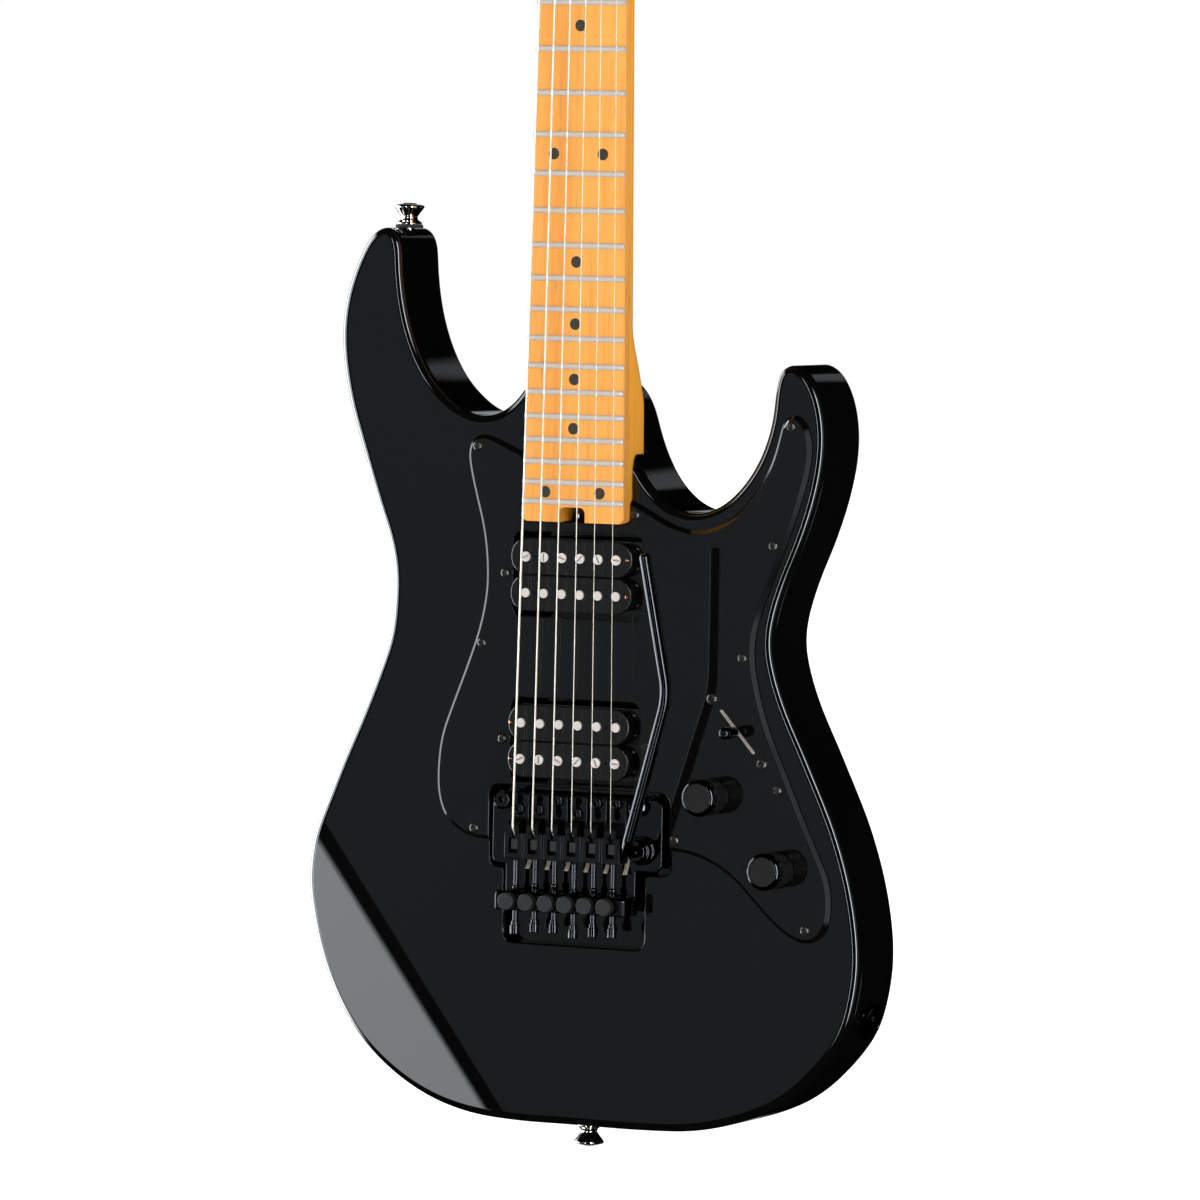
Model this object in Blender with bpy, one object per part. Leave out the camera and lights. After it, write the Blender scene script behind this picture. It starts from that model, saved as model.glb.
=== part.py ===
"""An electric guitar: solid body, bolt-on neck with 24 frets, two humbucking pickups and a
double-locking tremolo.

Frame: the guitar stands upright. +Z runs up the neck, +X to the right as seen from the front, and
the front faces -Y. The origin is the middle of the lower strap button's outer face, y = 0 is the
middle of the body's thickness. Sizes are in millimetres and become metres in `place`.
"""

import math

import bmesh
import bpy
from mathutils import Matrix, Vector

MM = 0.001

# ---------------------------------------------------------------- driving dimensions
SCALE_LENGTH = 647.7       # nut to bridge
BRIDGE_Z = 160.0           # height of the bridge line above the lower strap button's face
FRETS = 24
NUT_WIDTH = 42.0
LAST_FRET_WIDTH = 56.1
BOARD_THICK = 6.0
BOARD_ABOVE_BODY = 10.0    # top of the fretboard above the body's front
BOARD_RADIUS = 406.0
HEEL_DEPTH = 19.8          # neck wood below the fretboard, at the heel
NECK_DEPTH_NUT = 13.5      # neck wood below the fretboard, behind the nut
NECK_DEPTH_MID = 15.5
BODY_THICK = 43.0
BODY_EDGE_RADIUS = 4.5
STRING_COUNT = 6
NUT_SPREAD = 35.5          # outer string to outer string at the nut
BRIDGE_SPREAD = 54.0
STRING_ABOVE_BODY = 14.5   # underside of the strings at the bridge
STRING_RADII = (0.53, 0.43, 0.33, 0.22, 0.17, 0.13)
GUARD_THICK = 2.3
GAP = 0.3                  # between pieces that touch
WALL_GAP = 0.4             # around a piece dropped into a cut-out
CLEAR = 10                 # how far a cutter stands out of the wood
POCKET_TOP = 420.0         # where the cutters of the neck pocket end, clear of the body

# body outline, front view, as (x, z) of points on one smooth closed curve
BODY_POINTS = (
    (0, 12), (38, 12), (68, 13.8), (96, 21), (118, 31.5), (137, 48.5), (149.5, 66), (155.2, 86),
    (156.7, 106), (152.8, 134), (143.6, 164), (127.9, 198), (113.7, 227), (107.4, 246), (106, 257),
    (107.6, 269), (113, 286), (121.3, 306), (128, 326), (131.9, 345.5), (132.2, 362), (128.6, 378),
    (121.5, 389.5), (113, 393.2), (106.6, 389.5), (104.3, 380), (102.4, 364), (96, 345.5),
    (84.5, 329.5), (73, 321), (62, 318.2), (52, 320), (43.6, 325), (36.6, 332), (31.2, 340),
    (26.8, 349), (23.4, 358.5), (20, 369), (13.5, 379), (2, 384.8), (-13, 386.5), (-25, 384.5),
    (-33, 378), (-39, 370.5), (-47, 364.8), (-56.5, 362.6), (-66, 364.6), (-75.5, 370.6),
    (-85, 380), (-92.4, 392), (-98, 406), (-101.6, 421), (-103.4, 436), (-104.3, 447.5),
    (-108, 454.2), (-114, 455.8), (-120.5, 452.5), (-125.6, 445.5), (-131, 434), (-135.4, 420),
    (-137.4, 405), (-136.6, 389), (-132.4, 368), (-124.6, 344), (-115.3, 317.5), (-108.2, 298.5),
    (-105.3, 284), (-105.2, 268), (-107.2, 251), (-112.6, 235), (-122, 212), (-133.5, 186.5),
    (-143, 163.5), (-150.3, 146), (-154.2, 126), (-152.9, 108), (-148.4, 87), (-139.4, 65.5),
    (-126, 46.5), (-108, 31.5), (-86, 20.2), (-62, 14), (-32, 12),
)
# where the flat forearm bevel leaves the body's front, and how steeply it falls
BEVEL_START = (-150.0, 161.5)
BEVEL_END = (-38.5, 16.0)
BEVEL_ANGLE = 11.5

GUARD_POINTS = (
    (-44, 152), (-57.4, 152.9), (-66.5, 157), (-73.2, 163.6), (-76.7, 174), (-77.2, 187), (-75.2, 203),
    (-69.5, 219), (-61.5, 239.5), (-55, 258.5), (-51.7, 276), (-51.7, 291), (-54, 307.5),
    (-58.4, 323.5), (-62, 338), (-62.8, 346), (-59.4, 352.6), (-53, 354), (-45, 351), (-28, 343.5),
    (0, 330), (27.6, 324.2), (38, 319.2), (48, 314), (58, 310.8), (67, 310.2), (76, 312.6),
    (85, 318), (95, 328.8), (103, 341.2), (107.4, 353.4), (110.2, 364), (114.4, 368.8),
    (119.4, 368.2), (124, 362), (126.1, 352), (124.4, 339), (119.4, 321.8), (111.6, 300.2),
    (103.6, 279.4), (97.8, 262), (97, 249), (99.6, 233.8), (105.4, 215), (114.6, 194.6),
    (125, 172), (134.2, 153), (139.4, 141.6), (141, 129), (139.2, 117.6), (133.6, 111.6),
    (126.8, 110.2), (118.6, 113.2), (110, 119.2), (98.8, 129.8), (87, 140.6), (75, 147.4),
    (63, 151), (50, 152),
)

# pickups
PICKUP_BELOW_BOARD = 26.725   # middle of the neck pickup below the fretboard's end
BRIDGE_PICKUP_Z = 202.8
PICKUP_HOLE = (71.6, 42.4)
BOBBIN_LENGTH = 66.8
BOBBIN_WIDTH = 18.0
PICKUP_TOP = 9.7           # bobbin tops above the body's front
PICKUP_DEEP = 5.5          # underside of the pickup below the body's front
PICKUP_SCREW_X = 40.0

# tremolo
STUD_Z = 173.0
STUD_SPREAD = 75.0
STUD_NECK_R = 3.5
STUD_HEAD_R = 4.9
STUD_ANCHOR_R = 5.0
PLATE_LEFT, PLATE_RIGHT = -43.7, 50.4
PLATE_LOW, PLATE_HIGH = 141.0, 176.6
PLATE_TOP = 4.5            # plate's face above the body's front
PLATE_THICK = 3.0
TAIL_HALF = 36.0
TUNER_BAR_LOW, TUNER_BAR_HIGH = 119.0, 128.5
BAR_ABOVE_SCREWS = 4.2      # top of the fine tuners' bar above the lock screws
KNIFE_GAP = 0.8
LOCK_SCREW_R = 2.0
LOCK_SCREW_DROP = 4.0      # string-lock screws' middle below the strings' underside
FINE_TUNER_R = 4.3
FINE_TUNER_TOP = 22.0      # above the body's front
BLOCK_HALF = 28.0
BLOCK_LOW, BLOCK_HIGH = 150.5, 167.5
BLOCK_DEEP = 36.7
ARM_X, ARM_Z = 39.8, 151.5
ARM_R = 2.9
COLLAR_R = 6.3
OPENING_LEFT, OPENING_RIGHT = -47.0, 53.2
OPENING_LOW, OPENING_HIGH = 139.0, 180.0
SLOT_HALF, SLOT_LOW = 39.0, 101.5

# controls
VOLUME_AT = (76.7, 180.2)
TONE_AT = (112.8, 146.0)
KNOB_R, KNOB_HEIGHT = 9.15, 17.7
SHAFT_R = 2.9
BUSH_R = 3.9
POT_R = 8.2
SWITCH_TOP, SWITCH_BOTTOM = (75.5, 227.9), (103.3, 197.0)   # its two screws
SWITCH_SLOT = 28.3
SWITCH_PIVOT_DEEP = 22.0   # the lever's pivot below the body's front
CONTROL_ROUT_POINTS = (
    (66, 166), (84, 158), (97, 139), (113, 130), (126, 138), (126, 152), (112, 166), (104.5, 176),
    (105.5, 187), (110.6, 197), (106, 206), (98, 214), (89, 232), (72, 243), (62, 228), (66, 203),
    (61, 184),
)
JACK_AT = (152.6, 72.0)
JACK_TILT = -19.5          # degrees below +X that the socket points
JACK_BORE_R = 3.5
JACK_R = 7.0
WIRE_WAY_LOW, WIRE_WAY_HIGH = (120, 0, 84), (112, 0, 136)   # drilled from jack to controls

# headstock and its hardware, in the headstock's own frame (u across, v along, w forward)
HEAD_TILT = 12.0
HEAD_THICK = 14.0
POST_FIRST = (-21.3, 32.0)
POST_STEP = (7.1, 25.0)
POST_R = 3.0
POST_HIGH = 9.0
KEY_REACH = 23.0
WORM_ASIDE, WORM_DEEP = 4.6, 5.4   # the key's axis beside the post, and below the plate
WORM_R = 2.2
HEAD_POINTS = (
    (-21.2, 0), (21.2, 0), (22.5, 12), (24.2, 40), (27, 80), (30.5, 120), (36, 152), (42, 172),
    (41, 181), (33, 185.5), (20, 183), (9, 173.5), (2, 161), (-14, 105), (-33.5, 37),
    (-36, 26), (-32, 17), (-24.5, 10),
)

# hidden parts at the back
CAVITY_HALF, CAVITY_LOW, CAVITY_HIGH, CAVITY_DEEP = 31.0, 95.0, 262.0, 16.0
COVER_MARGIN, COVER_THICK = 7.0, 2.0
SPRING_R, SPRING_WIRE_R, SPRING_TURNS = 4.0, 0.55, 10
SPRING_X = 10.8
CLAW_LOW, CLAW_THICK = 249.0, 2.5
STRAP_R = 7.5
STRAP_SCREW_R = 2.2
UPPER_BUTTON_AT = (-110.6, 455.6)
NECK_SCREW_R = 2.3
CLAW_SCREW_X, CLAW_SCREW_R = 18.0, 2.2
BUTTON_TALL = 12.0

FRONT = -BODY_THICK / 2
BACK = BODY_THICK / 2
NUT_Z = BRIDGE_Z + SCALE_LENGTH
BOARD_TOP = FRONT - BOARD_ABOVE_BODY
BOARD_BOTTOM = BOARD_TOP + BOARD_THICK
NECK_TOP = BOARD_BOTTOM + GAP
HEEL_BACK = NECK_TOP + HEEL_DEPTH
WOOD_BEHIND_HEEL = BACK - HEEL_BACK
LAST_FRET_Z = BRIDGE_Z + SCALE_LENGTH * 2 ** (-FRETS / 12)
BOARD_END = LAST_FRET_Z - 9.9
NECK_PICKUP_Z = BOARD_END - PICKUP_BELOW_BOARD
GUARD_BACK = FRONT - GAP
GUARD_FRONT = GUARD_BACK - GUARD_THICK
STRING_Y_BRIDGE = FRONT - STRING_ABOVE_BODY
STRING_Y_NUT = BOARD_TOP - 1.9
PLATE_FACE = FRONT - PLATE_TOP
PLATE_BACK = PLATE_FACE + PLATE_THICK
PIVOT_Y = PLATE_FACE + PLATE_THICK / 2
PIVOT_Z = STUD_Z - STUD_NECK_R - KNIFE_GAP
HEEL_END = BOARD_END + GAP
LOCK_SCREW_Y = STRING_Y_BRIDGE + LOCK_SCREW_DROP
BAR_TOP = LOCK_SCREW_Y - LOCK_SCREW_R - BAR_ABOVE_SCREWS
BAR_MIDDLE = (TUNER_BAR_LOW + TUNER_BAR_HIGH) / 2
HEAD_Z = NUT_Z + 16.5
SPRING_Y = BACK - CAVITY_DEEP / 2 - 1


# ---------------------------------------------------------------- shape helpers
def smooth_loop(points, step):
    """A closed Catmull-Rom curve through the points, sampled about every `step` mm."""
    result = []
    count = len(points)
    for i in range(count):
        p0, p1, p2, p3 = (Vector(points[(i + k) % count]) for k in (-1, 0, 1, 2))
        spans = [max((b - a).length, 1e-6) ** 0.5 for a, b in ((p0, p1), (p1, p2), (p2, p3))]
        t1 = spans[0]
        t2 = t1 + spans[1]
        t3 = t2 + spans[2]
        samples = max(1, round((p2 - p1).length / step))
        for k in range(samples):
            t = t1 + (t2 - t1) * k / samples
            a1 = p0.lerp(p1, t / t1)
            a2 = p1.lerp(p2, (t - t1) / (t2 - t1))
            a3 = p2.lerp(p3, (t - t2) / (t3 - t2))
            b1 = a1.lerp(a2, t / t2)
            b2 = a2.lerp(a3, (t - t1) / (t3 - t1))
            result.append(b1.lerp(b2, (t - t1) / (t2 - t1)))
    return result


def inset(loop, distance):
    """The counter-clockwise loop moved inwards by the distance."""
    count = len(loop)
    result = []
    for i in range(count):
        along = (loop[(i + 1) % count] - loop[i - 1]).normalized()
        result.append(loop[i] + Vector((-along.y, along.x)) * distance)
    return result


def rounded_box(low, high, radius, steps=4):
    """A counter-clockwise rectangle with rounded corners, between two (x, z) corners."""
    centres = (
        (high[0] - radius, low[1] + radius, -90), (high[0] - radius, high[1] - radius, 0),
        (low[0] + radius, high[1] - radius, 90), (low[0] + radius, low[1] + radius, 180),
    )
    result = []
    for x, z, start in centres:
        for k in range(steps + 1):
            angle = math.radians(start + 90 * k / steps)
            result.append(Vector((x + radius * math.cos(angle), z + radius * math.sin(angle))))
    return result


def loft(rings, closed=False):
    """Quads between rings of equal length. Open chains get end caps, closed ones join up."""
    bm = bmesh.new()
    layers = [[bm.verts.new(p) for p in ring] for ring in rings]
    pairs = list(zip(layers, layers[1:]))
    if closed:
        pairs.append((layers[-1], layers[0]))
    else:
        bm.faces.new(reversed(layers[0]))
        bm.faces.new(layers[-1])
    count = len(layers[0])
    for a, b in pairs:
        for i in range(count):
            j = (i + 1) % count
            bm.faces.new((a[i], a[j], b[j], b[i]))
    if bm.calc_volume(signed=True) < 0:
        bmesh.ops.reverse_faces(bm, faces=bm.faces)
    return bm


def prism(outline, near, far):
    """An (x, z) outline extruded along Y."""
    return loft([[Vector((p[0], y, p[1])) for p in outline] for y in (near, far)])


def side_prism(outline, left, right):
    """A (y, z) outline extruded along X."""
    return loft([[Vector((x, p[0], p[1])) for p in outline] for x in (left, right)])


def box(low, high):
    return prism([(low[0], low[2]), (high[0], low[2]), (high[0], high[2]), (low[0], high[2])],
                 low[1], high[1])


def facing(at, direction):
    """A frame at a point, with its local Z along the direction."""
    turn = Vector((0, 0, 1)).rotation_difference(Vector(direction)).to_matrix().to_4x4()
    return Matrix.Translation(Vector(at)) @ turn


def turned(profile, frame, sides=20, closed=False):
    """A profile of (radius, height) turned about the frame's Z. Hollow ones are closed chains."""
    turn = [2 * math.pi * k / sides for k in range(sides)]
    rings = [[Vector((r * math.cos(a), r * math.sin(a), h)) for a in turn] for r, h in profile]
    bm = loft(rings, closed)
    bm.transform(frame)
    return bm


def tube(path, radius, sides):
    """A round tube along a list of points, with flat ends."""
    rings = []
    up = Vector((1, 0, 0))
    for i, point in enumerate(path):
        before = path[max(i - 1, 0)]
        after = path[min(i + 1, len(path) - 1)]
        along = (after - before).normalized()
        side = along.cross(up).normalized()
        up = side.cross(along).normalized()
        ring = []
        for k in range(sides):
            angle = 2 * math.pi * k / sides
            ring.append(point + side * radius * math.cos(angle) + up * radius * math.sin(angle))
        rings.append(ring)
    return loft(rings)


def joined(*meshes):
    """Several closed meshes in one bmesh, for a cutter with separate bodies."""
    result = bmesh.new()
    for bm in meshes:
        scratch = bpy.data.meshes.new("scratch")
        bm.to_mesh(scratch)
        bm.free()
        result.from_mesh(scratch)
        bpy.data.meshes.remove(scratch)
    return result


# ---------------------------------------------------------------- placing
def material(name, colour, roughness, metallic=0.0):
    result = bpy.data.materials.new(name)
    result.use_nodes = True
    shader = result.node_tree.nodes["Principled BSDF"]
    shader.inputs["Base Color"].default_value = (*colour, 1)
    shader.inputs["Roughness"].default_value = roughness
    shader.inputs["Metallic"].default_value = metallic
    return result


def place(name, bm, finish, origin=(0, 0, 0), round_piece=False):
    """Makes the object in metres. A moving piece passes a point of its joint's axis as origin."""
    bm.transform(Matrix.Translation(-Vector(origin)))
    bm.transform(Matrix.Scale(MM, 4))
    mesh = bpy.data.meshes.new(name)
    bm.to_mesh(mesh)
    bm.free()
    if round_piece:
        mesh.shade_smooth()
        mesh.set_sharp_from_angle(angle=math.radians(35))
    obj = bpy.data.objects.new(name, mesh)
    obj.location = Vector(origin) * MM
    if finish:
        mesh.materials.append(finish)
    bpy.context.scene.collection.objects.link(obj)
    return obj


def combine(obj, operation, bm, label):
    """Adds a Boolean with a hidden helper made of bm."""
    helper = place(f"{obj.name}_{label}", bm, None)
    helper.hide_render = True
    helper.display_type = "WIRE"
    modifier = obj.modifiers.new(label, "BOOLEAN")
    modifier.operation = operation
    modifier.object = helper
    modifier.solver = "EXACT"


def cut(obj, bm, label):
    combine(obj, "DIFFERENCE", bm, label)


def add(obj, bm, label):
    combine(obj, "UNION", bm, label)


# ---------------------------------------------------------------- shared places
def board_half(z):
    """Half the fretboard's width at a height."""
    share = (NUT_Z - z) / (NUT_Z - LAST_FRET_Z)
    return (NUT_WIDTH + (LAST_FRET_WIDTH - NUT_WIDTH) * share) / 2


def string_x(index, spread):
    return (index / (STRING_COUNT - 1) - 0.5) * spread


def head_frame():
    """The headstock's frame: u = X, v up along its face, w out of its face."""
    tilt = math.radians(HEAD_TILT)
    frame = Matrix((
        (1, 0, 0, 0),
        (0, math.sin(tilt), -math.cos(tilt), NECK_TOP),
        (0, math.cos(tilt), math.sin(tilt), HEAD_Z),
        (0, 0, 0, 1),
    ))
    return frame


def head_prism(outline, low, high):
    bm = loft([[Vector((p[0], p[1], w)) for p in outline] for w in (low, high)])
    bm.transform(head_frame())
    return bm


def post_at(index):
    return Vector((POST_FIRST[0] + POST_STEP[0] * index, POST_FIRST[1] + POST_STEP[1] * index, 0))


def key_direction():
    """Away from the row of posts, towards the bass side, in the headstock's frame."""
    return Vector((-POST_STEP[1], POST_STEP[0], 0)).normalized()


def switch_frame():
    """Middle of the switch on the guard's face, with its slot along local X and -Y outwards."""
    top = Vector((SWITCH_TOP[0], 0, SWITCH_TOP[1]))
    bottom = Vector((SWITCH_BOTTOM[0], 0, SWITCH_BOTTOM[1]))
    along = (bottom - top).normalized()
    across = along.cross(Vector((0, 1, 0)))
    frame = Matrix.Identity(4)
    frame.col[0] = (*along, 0)
    frame.col[1] = (0, 1, 0, 0)
    frame.col[2] = (*across, 0)
    frame.col[3] = (*((top + bottom) / 2), 1)
    return frame


def jack_direction():
    tilt = math.radians(JACK_TILT)
    return Vector((math.cos(tilt), 0, math.sin(tilt)))


# ---------------------------------------------------------------- body
def make_body(finish):
    outline = smooth_loop(BODY_POINTS, 13)
    steps = 3
    rings = []
    for side in (-1, 1):
        for k in range(steps + 1):
            angle = math.pi / 2 * (k if side < 0 else steps - k) / steps
            inward = BODY_EDGE_RADIUS * (1 - math.sin(angle))
            y = side * (BODY_THICK / 2 - BODY_EDGE_RADIUS * (1 - math.cos(angle)))
            rings.append([Vector((p.x, y, p.y)) for p in inset(outline, inward)])
    body = place("body", loft(rings), finish, round_piece=True)

    start, end = Vector(BEVEL_START), Vector(BEVEL_END)
    along = (end - start).normalized()
    outward = Vector((along.y, -along.x))
    if outward.x > 0:
        outward = -outward
    reach = 90.0
    fall = reach * math.tan(math.radians(BEVEL_ANGLE))
    wedge = []
    for point in (start - along * 60, end + along * 60):
        far = point + outward * reach
        wedge.append([Vector((point.x, FRONT, point.y)), Vector((far.x, FRONT + fall, far.y)),
                      Vector((far.x, FRONT - 20, far.y)), Vector((point.x, FRONT - 20, point.y))])
    cut(body, loft(wedge), "forearm_bevel")

    pocket = []
    for z in (HEEL_END - GAP - WALL_GAP, POCKET_TOP):
        half = board_half(z) + WALL_GAP
        pocket.append([Vector((-half, FRONT - 20, z)), Vector((half, FRONT - 20, z)),
                       Vector((half, HEEL_BACK + GAP, z)),
                       Vector((-half, HEEL_BACK + GAP, z))])
    cut(body, loft(pocket), "neck_pocket")

    for label, z in (("neck_rout", NECK_PICKUP_Z), ("bridge_rout", BRIDGE_PICKUP_Z)):
        half = PICKUP_SCREW_X + 5
        tall = BOBBIN_WIDTH + 3
        outline = rounded_box((-half, z - tall), (half, z + tall), 5)
        cut(body, prism(outline, FRONT - CLEAR, FRONT + PICKUP_DEEP + 12), label)

    control = smooth_loop(CONTROL_ROUT_POINTS, 14)
    cut(body, prism(control, FRONT - CLEAR, FRONT + 33), "control_rout")

    upper = rounded_box((OPENING_LEFT, OPENING_LOW), (OPENING_RIGHT, OPENING_HIGH), 4)
    cut(body, prism(upper, FRONT - CLEAR, FRONT + 6.5), "bridge_recess")
    lower = rounded_box((-SLOT_HALF, SLOT_LOW), (SLOT_HALF, OPENING_LOW + 12), 4)
    cut(body, prism(lower, FRONT - CLEAR, FRONT + 11), "tail_recess")
    through = rounded_box((-BLOCK_HALF - 3, 133), (BLOCK_HALF + 3, 175.5), 4)
    cut(body, prism(through, FRONT - CLEAR, BACK - CAVITY_DEEP + 4), "block_rout")
    cavity = rounded_box((-CAVITY_HALF, CAVITY_LOW), (CAVITY_HALF, CAVITY_HIGH), 6)
    cut(body, prism(cavity, BACK - CAVITY_DEEP, BACK + 5), "spring_rout")
    cover = rounded_box((-CAVITY_HALF - COVER_MARGIN - GAP, CAVITY_LOW - COVER_MARGIN - GAP),
                        (CAVITY_HALF + COVER_MARGIN + GAP, CAVITY_HIGH + COVER_MARGIN + GAP), 8)
    cut(body, prism(cover, BACK - COVER_THICK - GAP, BACK + 5), "cover_rebate")

    holes = []
    for side in (-1, 1):
        at = (side * STUD_SPREAD / 2, FRONT - 2, STUD_Z)
        holes.append(turned([(STUD_ANCHOR_R + GAP, 0), (STUD_ANCHOR_R + GAP, 24)],
                            facing(at, (0, 1, 0)), 16))
        frame = facing((side * CLAW_SCREW_X, SPRING_Y, CAVITY_HIGH - 3), (0, 0, 1))
        holes.append(turned([(CLAW_SCREW_R + GAP, 0), (CLAW_SCREW_R + GAP, 24)], frame, 12))
    for at in neck_screw_places():
        frame = facing((at[0], BACK, at[1]), (0, 1, 0))
        bore = NECK_SCREW_R + GAP
        holes.append(turned([(bore, -WOOD_BEHIND_HEEL - 3.1), (bore, 5)], frame, 12))
    for at, direction, _ in strap_places():
        bore = STRAP_SCREW_R + GAP
        holes.append(turned([(bore, -24), (bore, 20)], facing(at, direction), 12))
    cut(body, joined(*holes), "screw_holes")

    inner = facing((JACK_AT[0], 0, JACK_AT[1]), jack_direction())
    cut(body, turned([(JACK_R + WALL_GAP, -38), (JACK_R + WALL_GAP, 30)], inner, 20), "jack_bore")
    cut(body, tube([Vector(WIRE_WAY_LOW), Vector(WIRE_WAY_HIGH)], 4, 10), "wire_way")
    return body


def neck_screw_places():
    low, high = HEEL_END + 10, HEEL_END + 38
    return ((-18, low), (18, low - 1), (-18, high + 8), (13, high - 2))


def strap_places():
    """Each strap button: where it sits, the way it points, and its name."""
    return (
        ((0, 0, BUTTON_TALL), (0, 0, -1), "strap_button_lower"),
        ((UPPER_BUTTON_AT[0], 0, UPPER_BUTTON_AT[1]), (0, 0, 1), "strap_button_upper"),
    )


def make_guard(finish):
    guard = place("pickguard", prism(smooth_loop(GUARD_POINTS, 13), GUARD_FRONT, GUARD_BACK), finish)
    notch = []
    for z in (HEEL_END - GAP - WALL_GAP, POCKET_TOP):
        half = board_half(z) + WALL_GAP
        notch.append([Vector((-half, FRONT - 20, z)), Vector((half, FRONT - 20, z)),
                      Vector((half, FRONT + 5, z)), Vector((-half, FRONT + 5, z))])
    cut(guard, loft(notch), "neck_notch")
    wide, tall = PICKUP_HOLE
    holes = []
    for z in (NECK_PICKUP_Z, BRIDGE_PICKUP_Z):
        outline = rounded_box((-wide / 2, z - tall / 2), (wide / 2, z + tall / 2), 4)
        holes.append(prism(outline, FRONT - CLEAR, FRONT + 5))
        for side in (-1, 1):
            at = (side * PICKUP_SCREW_X, FRONT - CLEAR, z)
            holes.append(turned([(1.3 + GAP, 0), (1.3 + GAP, 12)], facing(at, (0, 1, 0)), 10))
    for at in (VOLUME_AT, TONE_AT):
        holes.append(turned([(BUSH_R + GAP, 0), (BUSH_R + GAP, 12)],
                            facing((at[0], FRONT - CLEAR, at[1]), (0, 1, 0)), 16))
    slot = box((-SWITCH_SLOT / 2, FRONT - CLEAR, -1.1), (SWITCH_SLOT / 2, FRONT + 2, 1.1))
    slot.transform(switch_frame())
    holes.append(slot)
    cut(guard, joined(*holes), "holes")
    opening = rounded_box((OPENING_LEFT, OPENING_LOW - 20), (OPENING_RIGHT, OPENING_HIGH), 4)
    cut(guard, prism(opening, FRONT - CLEAR, FRONT + 5), "bridge_opening")


def make_cover(finish):
    outline = rounded_box((-CAVITY_HALF - COVER_MARGIN, CAVITY_LOW - COVER_MARGIN),
                          (CAVITY_HALF + COVER_MARGIN, CAVITY_HIGH + COVER_MARGIN), 8)
    place("spring_cover", prism(outline, BACK - COVER_THICK, BACK), finish)


def make_neck_plate(finish):
    low, high = HEEL_END + 3, HEEL_END + 53
    outline = [(-24, low), (24, low), (24, high - 21), (18, high - 12), (-20, high), (-24, high - 3)]
    plate = place("neck_plate", prism(outline, BACK + GAP, BACK + GAP + 2), finish)
    for index, at in enumerate(neck_screw_places()):
        frame = facing((at[0], BACK + GAP + 2.4, at[1]), (0, -1, 0))
        screw = turned([(3.6, -0.4), (4.2, 0.2), (NECK_SCREW_R, 2.0),
                        (NECK_SCREW_R, WOOD_BEHIND_HEEL + 9.1)], frame, 12)
        add(plate, screw, f"screw_{index + 1}")


def make_strap_buttons(finish):
    for at, direction, name in strap_places():
        profile = [(1.6, -20), (STRAP_SCREW_R, -18), (STRAP_SCREW_R, 0.4), (6.2, 0.4), (6.2, 1.6),
                   (4.2, 4), (4.2, 7.5), (STRAP_R, 9.4), (STRAP_R, 10.6), (STRAP_R - 1.6, BUTTON_TALL)]
        place(name, turned(profile, facing(at, direction), 16), finish, round_piece=True)


# ---------------------------------------------------------------- neck
def neck_section(z, half, deep, square):
    """One slice of the neck wood: flat on top, rounded or square below."""
    ring = []
    count = 12
    for k in range(count + 1):
        angle = math.pi * k / count
        power = 2 / square
        x = half * math.copysign(abs(math.cos(angle)) ** power, math.cos(angle))
        y = deep * math.sin(angle) ** power
        ring.append(Vector((x, NECK_TOP + y, z)))
    return ring


def make_neck(finish):
    slices = []
    heel_top = 377.0
    shaft_low = 410.0
    for z in (HEEL_END, heel_top - 6):
        slices.append(neck_section(z, board_half(z), HEEL_DEPTH, 12))
    for k in range(1, 5):
        share = k / 4
        ease = share * share * (3 - 2 * share)
        z = heel_top - 6 + (shaft_low - heel_top + 6) * share
        deep = HEEL_DEPTH + (NECK_DEPTH_MID - HEEL_DEPTH) * ease
        slices.append(neck_section(z, board_half(z), deep, 12 + (2.4 - 12) * ease ** 0.35))
    for share in (0.2, 0.45, 0.7, 0.9, 1.0):
        z = shaft_low + (NUT_Z - shaft_low) * share
        deep = NECK_DEPTH_MID + (NECK_DEPTH_NUT - NECK_DEPTH_MID) * share
        slices.append(neck_section(z, board_half(z), deep, 2.4))
    slices.append(neck_section(HEAD_Z - 4, NUT_WIDTH / 2, NECK_DEPTH_NUT + 1.5, 3.2))
    tilted = neck_section(0, NUT_WIDTH / 2, HEAD_THICK - 1, 6)
    slices.append([head_frame() @ Vector((p.x, 3, NECK_TOP - p.y - 0.3)) for p in tilted])
    neck = place("neck", loft(slices), finish, round_piece=True)
    add(neck, head_prism(HEAD_POINTS, -HEAD_THICK, 0), "headstock")
    holes = []
    for index in range(STRING_COUNT):
        bore = turned([(POST_R + GAP, -HEAD_THICK - 5), (POST_R + GAP, 5)],
                      Matrix.Translation(post_at(index)), 12)
        bore.transform(head_frame())
        holes.append(bore)
    for at in neck_screw_places():
        depth = WOOD_BEHIND_HEEL + 18
        frame = facing((at[0], BACK, at[1]), (0, -1, 0))
        holes.append(turned([(NECK_SCREW_R + GAP, 0), (NECK_SCREW_R + GAP, depth)], frame, 12))
    cut(neck, joined(*holes), "bores")


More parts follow.
